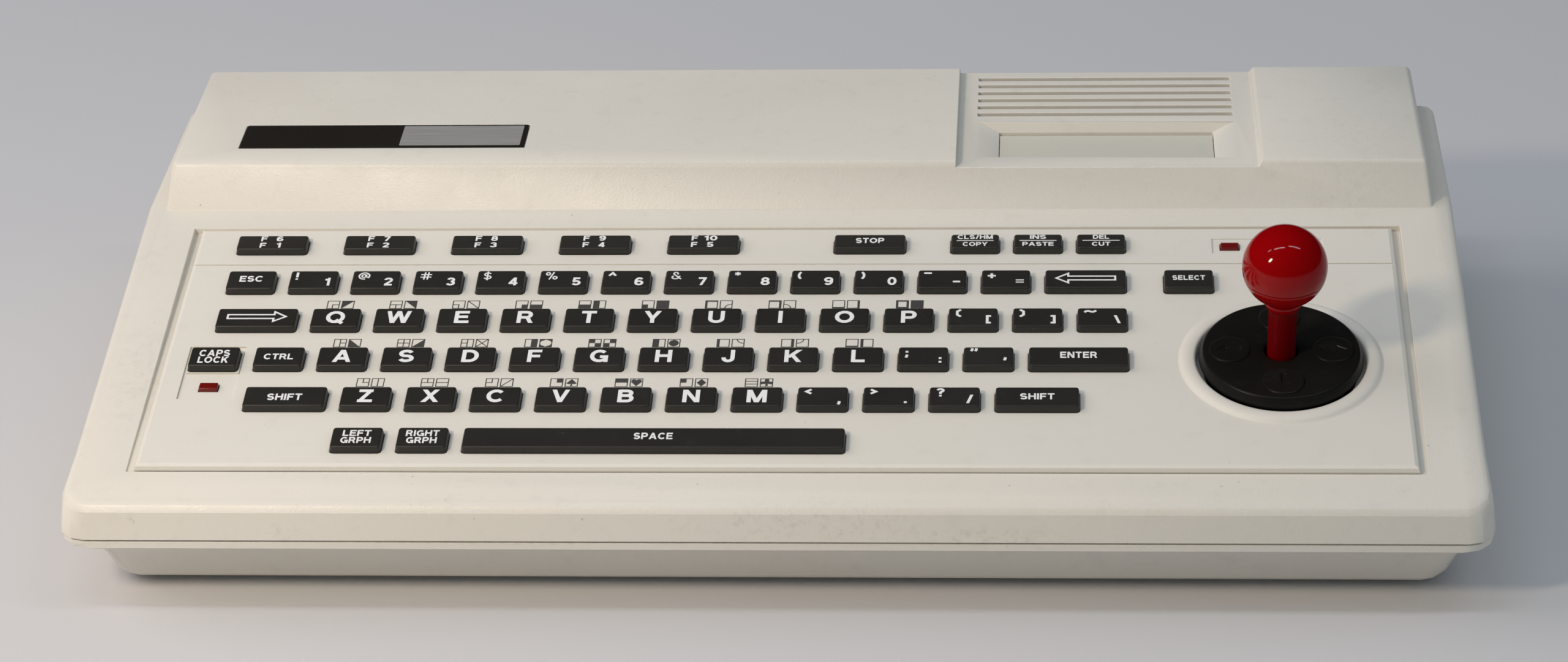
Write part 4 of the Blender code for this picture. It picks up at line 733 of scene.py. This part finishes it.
def hollow_arrow(x, v, way, length=17.6, shaft=0.95, head=2.35, head_length=3.6):
    """Outline of a long arrow; shaft and head are half widths, way is 1 or -1 (to the left)."""
    neck = length - head_length
    shape = np.array([(0, shaft), (neck, shaft), (neck, head), (length, 0),
                      (neck, -head), (neck, -shaft), (0, -shaft), (0, shaft)])
    return line_part((shape - (length / 2, 0)) * (way, 1) + (x, v), 0.6, print_height)


legends["key_tab"] = [hollow_arrow(cap_middle(0, tab_key), row_fronts[1] + 5.1, 1)]
legends["key_backspace"] = [hollow_arrow(cap_middle(13, tab_key), row_fronts[0] + 5.0, -1)]
letter_rows = (("keys_upper_row", 1.5, "QWERTYUIOP"), ("keys_middle_row", 1.75, "ASDFGHJKL"),
               ("keys_lower_row", 2.25, "ZXCVBNM"))
for name, first, letters in letter_rows:
    for index, letter in enumerate(letters):
        legends[name] += words(letter, cap_middle(first + index, key_width),
                               row_fronts[caps[name][0]] + 1.9, 5.85)
# Keys with two signs: x, foot and height of the upper one, foot of the lower one
for name, first, uppers, lowers, x, lift, size, low_lift in (
        ("keys_digit_row", 1, "!@#$%^&*()_+", "1234567890-=", 1.95, 4.6, 3.7, 1.65),
        ("keys_upper_row", 11.5, "{}~", "[]\\", 2.2, 4.7, 3.8, 1.6),
        ("keys_middle_row", 10.75, ';"', ":'", 2.2, 4.7, 3.8, 1.6),
        ("keys_lower_row", 9.25, "<>?", ",./", 2.2, 4.7, 3.8, 1.6)):
    for index, (upper, lower) in enumerate(zip(uppers, lowers)):
        left, front = first_key + (first + index) * key_pitch, row_fronts[caps[name][0]]
        legends[name] += words(upper, left + x, front + lift, size, None, 0, sign_line)
        legends[name] += words(lower, left + 12.8, front + low_lift, 3.9, None, 1, sign_line)
for name, parts in legends.items():
    piece(name + "_legend", parts, print_white, name)

# Printed boxes above the letter keys, left and right one split by "!": lines, filled figures (f) or
# a wide edge (w) in a unit square
box_marks = table_of("""
Q .45,0 .45,.5 1,.5!f 0,0 0,1 1,1
W 0,.5 1,.5|.5,0 .5,.5!f 0,1 1,1 1,0
E 0,.5 .5,.5 .5,0!0,1 1,0
R f .5,0 1,0 1,.5 .5,.5!f 0,0 1,0 1,.5 0,.5
T f 0,0 1,0 1,.5 0,.5!f 0,0 .5,0 .5,1 0,1
Y f 0,0 .5,0 .5,.5 0,.5!f 0,0 1,0 1,1 0,1
U w .07,0 .07,1|w 0,.93 1,.93!.4,0 .45,.22 .6,.4 .8,.5 1,.55
I w .93,0 .93,1|w 0,.93 1,.93!.6,0 .55,.22 .4,.4 .2,.5 0,.55
O w 0,.07 1,.07!w .93,0 .93,1
P w .07,.07 .07,.93 .93,.93 .93,.07 .07,.07!f 0,0 1,0 1,1 0,1
A .5,0 .5,1|.5,.5 1,.5!f 0,0 1,0 0,1
S .5,0 .5,1|0,.5 1,.5!f 0,0 1,0 1,1
D .5,0 .5,1|0,.5 .5,.5!0,0 1,1|0,1 1,0
F f .5,0 1,0 1,1 .5,1!f 0,1 0,.5 .12,.76 .5,.95|f 1,1 .5,.95 .88,.76 1,.5|f 0,0 .5,.05 .12,.24 0,.5|
f 1,0 1,.5 .88,.24 .5,.05
G f 0,.5 .5,.5 .5,1 0,1|f .5,0 1,0 1,.5 .5,.5!f .5,.5 1,.5 1,1 .5,1|f 0,0 .5,0 .5,.5 0,.5
H f 0,0 .5,0 .5,1 0,1!f .5,.06 .8,.2 .94,.5 .8,.8 .5,.94 .2,.8 .06,.5 .2,.2
J w .12,0 .12,1!.4,1 .45,.78 .6,.6 .8,.5 1,.45
K w .88,0 .88,1!.6,1 .55,.78 .4,.6 .2,.5 0,.45
L w 0,.07 1,.07!w .12,0 .12,1
Z .5,1 .5,.5 1,.5!.5,0 .5,1
X 0,.5 1,.5|.5,.5 .5,1!0,.5 1,.5
C .5,1 .5,.5 0,.5!0,0 1,1
V f .5,.5 1,.5 1,1 .5,1!f .5,.95 .95,.4 .7,.3 .55,.35 .6,.08 .4,.08 .45,.35 .3,.3 .05,.4
B f 0,.5 1,.5 1,1 0,1!f .5,.05 .95,.6 .85,.92 .6,.92 .5,.8 .4,.92 .15,.92 .05,.6
N f 0,.5 .5,.5 .5,1 0,1!f .5,.03 .9,.5 .5,.97 .1,.5
M 0,.33 1,.33|
0,.67 1,.67!f .38,.98 .68,.98 .72,.65 .97,.62 .95,.3 .6,.36 .62,.08 .4,.08 .42,.36 .05,.3 .03,.62 .32,.65
""")
marks = []
box_size, box_side, box_foot, box_print = np.array([3.55, 3.75]), 2.2, 12.05, 0.015
box_line, mark_line, wide_line = 0.3, 0.32, 0.6
square = np.array([(0, 0), (1, 0), (1, 1), (0, 1), (0, 0)])
for name, first, letters in letter_rows:
    for index, letter in enumerate(letters):
        middle = cap_middle(first + index, key_width)
        foot = row_fronts[caps[name][0]] + box_foot
        for side, figure in zip((-1, 1), box_marks[letter].split("!")):
            corner = np.array([middle + side * box_side - box_size[0] / 2, foot])
            marks.append(line_part(square * box_size + corner, box_line, box_print))
            for number, item in enumerate(figure.split("|")):
                lift = box_print + print_step * (number + 1)
                kind = item[0]
                points = stroke_points(item[1:] if kind in "fw" else item) * box_size + corner
                if kind == "f":
                    marks.append(flat_parts(points, [list(range(len(points)))], lift))
                else:
                    marks.append(line_part(points, wide_line if kind == "w" else mark_line, lift))
piece("plate_marks", marks, print_grey, "case")

# Joystick: profiles of (radius, height over the plate) round the stick's axis
ring_inner, ring_shelf = 25.0, -3.15
ring_profile = [(22.5, -3.45), (22.5, ring_shelf), (ring_inner - 0.3, ring_shelf), (ring_inner - 0.3, 0.55),
                (ring_inner + 0.05, 1.02), (ring_inner + 0.6, 1.2), (ring_inner + 1.8, 1.25), (28.0, 1.1),
                (28.7, 0.8), (29.2, 0.4), (29.55, 0.1), (29.8, 0.02), (29.8, -0.3), (25.6, -0.3),
                (24.9, -3.45)]
piece("joystick_ring", [closed_turn(stick_spot, ring_profile, 144)], plate_plastic, "case")

pivot, disc_top, disc_edge = -4.5, 4.0, 0.9
disc_profile = [(0, -4.7), (4.44, -4.7), (4.45, 0.62), (4.8, 3.2), (5.15, 3.8), (5.6, disc_top),
                (12.0, disc_top + 0.02), (20.0, disc_top)]
disc_profile += [(23.0 - disc_edge + disc_edge * math.sin(t), 3.1 + disc_edge * math.cos(t))
                 for t in np.linspace(0, 1.35, 7)]
disc_profile += [(23.35, 2.6), (23.75, 1.6), (23.9, 1.0), (23.8, 0.7), (23.5, 0.6), (6.4, 0.6), (6.4, -6.2),
                 (0, -6.2)]
hub_points, hub_faces = turned((0, 0, 0), [(0, -9.0), (1.0, -9.0), (1.0, 9.0), (0, 9.0)], 24)
hub_points = hub_points[:, [0, 2, 1]] + stick_spot + (0, 0, pivot)
disc_parts = [turned(stick_spot, disc_profile[::-1], 144), (hub_points, [face[::-1] for face in hub_faces])]
disc = piece("cursor_disc_moulding", disc_parts, disc_plastic, "stick", sharp=38)
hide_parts("cursor_disc")


def pad_surface(turn, radius=6.1, distance=15.0, rise=0.5, sunk=0.42, edge_width=0.9, count=110):
    """A round pad as a height field: a soft-edged plateau, less an arrow pressed into it.

    height = rise * sqrt(1 - (1 - e)^2) - sunk * s(a), where e falls from 1 to 0 over the last 0.9 mm
    and s is a smooth step into the arrow: a shaft 1.3 mm across with a head 3.5 mm across, pointing
    out of the disc.
    """
    share = np.linspace(0, 1, count // 2) ** 0.8
    angle = np.arange(count) * 2 * math.pi / count
    r = share[:, None] * radius
    x, y = r * np.cos(angle), r * np.sin(angle)
    edge_share = np.clip((radius - r) / edge_width, 0, 1)
    height = rise * np.sqrt(np.clip(1 - (1 - edge_share) ** 2, 0, 1)) * np.ones_like(x)
    shaft = np.maximum(np.abs(y) - 0.65, np.maximum(-3.4 - x, x - 1.2))
    head = np.maximum((np.abs(y) * 0.86 + (x - 3.9) * 0.5), 0.9 - x)
    arrow = np.minimum(shaft, head)
    inside = np.clip(0.5 - arrow / 0.3, 0, 1)
    height = height - sunk * inside * inside * (3 - 2 * inside)
    c, s = math.cos(turn), math.sin(turn)
    points = np.stack([distance * c + x * c - y * s, distance * s + x * s + y * c, height + disc_top], -1)
    return points.reshape(-1, 3) + stick_spot, quad_grid(count // 2, count, True)


piece("cursor_pads", [pad_surface(turn) for turn in np.arange(4) * math.pi / 2], disc_plastic, "stick",
      sharp=60)

shaft_profile = [(0, -4.6), (4.15, -4.6), (4.15, 20.0), (4.3, 21.2), (4.15, 27.5), (0, 27.5)]
shaft = piece("joystick_stem", [turned(stick_spot, shaft_profile, 96)], stem_painted_shade_plastic, "stick")
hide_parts("joystick_shaft")

# The ball: a sphere with a fine groove under its middle, and a collar
ball_height, ball_radius, groove_depth = 34.0, 12.2, 0.14
ball_arcs = [[(ball_radius * math.cos(t), ball_height + ball_radius * math.sin(t)) for t in turns]
             for turns in (np.linspace(math.pi / 2, -0.23, 40), np.linspace(-0.26, -1.06, 26))]
groove = (ball_radius * math.cos(-0.24) - groove_depth, ball_height + ball_radius * math.sin(-0.243))
ball_profile = [(0, ball_height + ball_radius)] + ball_arcs[0][1:] + [groove] + ball_arcs[1]
ball_profile += [(5.75, 23.0), (5.62, 22.5), (5.65, 22.1), (5.55, 21.4), (5.2, 20.7), (4.7, 20.0),
                 (4.5, 19.85), (0, 19.85)]
ball = piece("joystick_knob", [turned(stick_spot, ball_profile[::-1], 128)], ball_plastic, "stick",
             sharp=50)
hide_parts("joystick_ball")

# Lamp lenses, in plate millimetres
lens_half_x, lens_half_v, lens_corner = 2.76, 1.5, 0.4
lens_profile = [(0.0, -3.0), (0.0, 0.15), (0.05, 0.3), (0.14, 0.42), (0.3, 0.5), (0.6, 0.52)]
for lens_name, x, v in (("caps_lens", -167.4, -79.5), ("power_lens", 133.4, -10.2)):
    block = stepped_block((x, v), lens_half_x, lens_half_v, lens_corner, lens_profile)
    lens = piece(lens_name + "_cap", [block], lens_red, "case", sharp=50)
    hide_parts(lens_name)

# Badge: a dark plate with a bare field on its right
low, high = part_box("badge_plate")
low, high = np.array(low) * 1000, np.array(high) * 1000
middle, half = (low + high) / 2, (high - low) / 2
top = high[2]
plate_profile = [(0.0, low[2]), (0.0, top - 0.15), (0.04, top - 0.05), (0.15, top), (0.4, top)]
block = stepped_block(middle, half[0], half[1], 0.5, plate_profile)
badge = piece("badge_back", [block], badge_black, "case", straight)
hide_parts("badge_plate")
field_left, field_right, field_border = low[0] + 50.3, high[0] - 1.3, 0.9
field_profile = [(0, top - 0.2), (0, top + 0.03), (0.04, top + 0.05), (0.2, top + 0.05)]
block = stepped_block(((field_left + field_right) / 2, middle[1]), (field_right - field_left) / 2,
                      half[1] - field_border, 0.4, field_profile)
piece("badge_panel", [block], badge_field, "case", straight)


# Contacts: pins in the two ports, hollow contacts in the round sockets, springs in the flat ones

def along(part, spots, axis):
    """Copies of an upright turned part at each spot, its axis laid along y or x."""
    points, faces = part
    if axis == "y":
        return [(points[:, [0, 2, 1]] + spot, [face[::-1] for face in faces]) for spot in spots]
    return [(points[:, [2, 0, 1]] + spot, faces) for spot in spots]


def middle_of(node_name):
    """Middle and far corner of a node's box in millimetres."""
    first, last = (np.array(corner) * 1000 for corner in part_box(node_name))
    return (first + last) / 2, last


contacts = []
pin = turned((0, 0, 0), [(0, 0), (0.5, 0), (0.5, 1.9), (0.42, 2.15), (0.22, 2.3), (0, 2.32)], 14)
pin_pitch, pin_row, pin_sunk = 2.76, 1.4, 2.9
for port_name in ("joystick_port_1", "joystick_port_2"):
    middle, far = middle_of(port_name)
    for count, rise in ((5, pin_row), (4, -pin_row)):
        spots = [(far[0] - pin_sunk, middle[1] + (i - (count - 1) / 2) * pin_pitch, middle[2] + rise)
                 for i in range(count)]
        contacts += along(pin, spots, "x")
video_circle = 3.2
sleeve = closed_turn((0, 0, 0), [(0.42, -1.2), (0.75, -1.2), (0.75, 0.08), (0.7, 0.14), (0.5, 0.14),
                                 (0.42, 0.06)], 20)
middle, far = middle_of("video_socket")
spots = [(middle[0] + video_circle * math.cos(t), far[1], middle[2] + video_circle * math.sin(t))
         for t in np.radians([0, 45, 90, 135, 180])]
contacts += along(sleeve, spots, "y")
sleeve = closed_turn((0, 0, 0), [(0.9, -1.2), (1.5, -1.2), (1.5, 0.08), (1.4, 0.16), (1.05, 0.16),
                                 (0.9, 0.06)], 28)
middle, far = middle_of("power_inlet")
contacts += along(sleeve, [(middle[0], far[1], middle[2])], "y")
spring_sunk, spring_side = 4.2, 1.62
for socket_name, count, spacing in (("expansion_socket", 25, 2.54), ("tape_socket", 5, 3.96)):
    middle, far = middle_of(socket_name)
    for i in range(count):
        spot = (middle[0] + (i - (count - 1) / 2) * spacing, far[1] - spring_sunk)
        for side in (-1, 1):
            z = middle[2] + side * spring_side
            spring = [(0.0, z - 0.2), (0.0, z + 0.1), (0.08, z + 0.2), (0.2, z + 0.2)]
            contacts.append(stepped_block(spot, 0.6, 3.0, 0.25, spring, 2))
piece("socket_contacts", contacts, gold_metal, "case", straight)

# Floor, light and camera
reach = 3.0
floor_mesh = bpy.data.meshes.new("floor")
floor_mesh.from_pydata([(x * reach, y * reach, 0) for x, y in ((-1, -1), (1, -1), (1, 1), (-1, 1))], [],
                       [(0, 1, 2, 3)])
floor = added("floor", floor_mesh)
floor_material, floor_tree, floor_shader, floor_vector = new_material("floor_pale", 0.55)
floor_tint = ramp_of(floor_tree, noise_at(floor_tree, floor_vector, 3.0, 3.0), 0.3, 0.7)
floor_tree.links.new(mixed(floor_tree, floor_tint, (0.60, 0.585, 0.58), (0.585, 0.575, 0.575)),
                     floor_shader["Base Color"])
floor_mesh.materials.append(floor_material)

world = bpy.data.worlds.new("studio")
scene.world = world
world.use_nodes = True
background = world.node_tree.nodes["Background"]
background.inputs["Color"].default_value = (0.76, 0.89, 1.0, 1)
background.inputs["Strength"].default_value = 0.39
world.cycles_visibility.glossy = False


def area_light(name, where, aim, size, power, colour, size_y=None, roll_angle=0.0):
    """A soft lamp that faces a point, its long side level unless rolled; a rolled one is an ellipse."""
    lamp = bpy.data.lights.new(name, "AREA")
    lamp.shape = "ELLIPSE" if roll_angle else "RECTANGLE"
    lamp.size, lamp.size_y = size, size_y or size
    lamp.energy = power
    lamp.color = colour
    thing = added(name, lamp)
    thing.location = where
    back = (Vector(where) - Vector(aim)).normalized()
    across = (Vector((1, 0, 0)) - back * back.x).normalized()
    facing = Matrix((across, back.cross(across), back)).transposed() @ Matrix.Rotation(roll_angle, 3, "Z")
    thing.rotation_euler = facing.to_euler()
    return thing


origin, tube_white = (0, 0, 0), (0.86, 0.90, 1.0)
area_light("side_lamp", (-0.485, -0.528, 0.615), (0.0, 0.0, 0.03), 0.20, 3.6, (1.0, 0.84, 0.66), 0.10, 0.6)
area_light("ceiling_left", (-0.28, -0.313, 1.6), origin, 0.75, 2.75, tube_white, 0.075)
area_light("ceiling_right", (0.71, -0.205, 1.6), origin, 0.80, 2.5, tube_white, 0.075)
area_light("ceiling_far", (-1.12, -0.25, 1.6), origin, 0.30, 1.0, (0.80, 0.86, 1.0), 0.085)
soft_left = area_light("soft_left", (-1.76, 0.135, 1.22), origin, 1.35, 14.6, (1.0, 0.93, 0.97))
soft_left.visible_glossy = False

# The camera as solved from the photo, with the key pitch as the known length
camera_place = (0.07969, -1.05672, 0.61105)
elevation, yaw, roll = math.radians(28.604), math.radians(-4.395), math.radians(2.126)
forward = np.array([math.sin(yaw) * math.cos(elevation), math.cos(yaw) * math.cos(elevation),
                    -math.sin(elevation)])
right = np.array([math.cos(yaw), -math.sin(yaw), 0.0])
down = np.cross(forward, right)
camera_x = math.cos(roll) * right + math.sin(roll) * down
camera_y = math.sin(roll) * right - math.cos(roll) * down
camera_data = bpy.data.cameras.new("camera")
camera_data.sensor_width = 36.0
camera_data.sensor_fit = "HORIZONTAL"
camera_data.lens = 91.13
camera_data.clip_start = 0.01
camera = added("camera", camera_data)
turn_matrix = Matrix(np.stack([camera_x, camera_y, -forward], axis=1).tolist()).to_4x4()
camera.matrix_world = Matrix.Translation(camera_place) @ turn_matrix
scene.camera = camera
scene.view_settings.view_transform = "Standard"

bpy.context.view_layer.update()
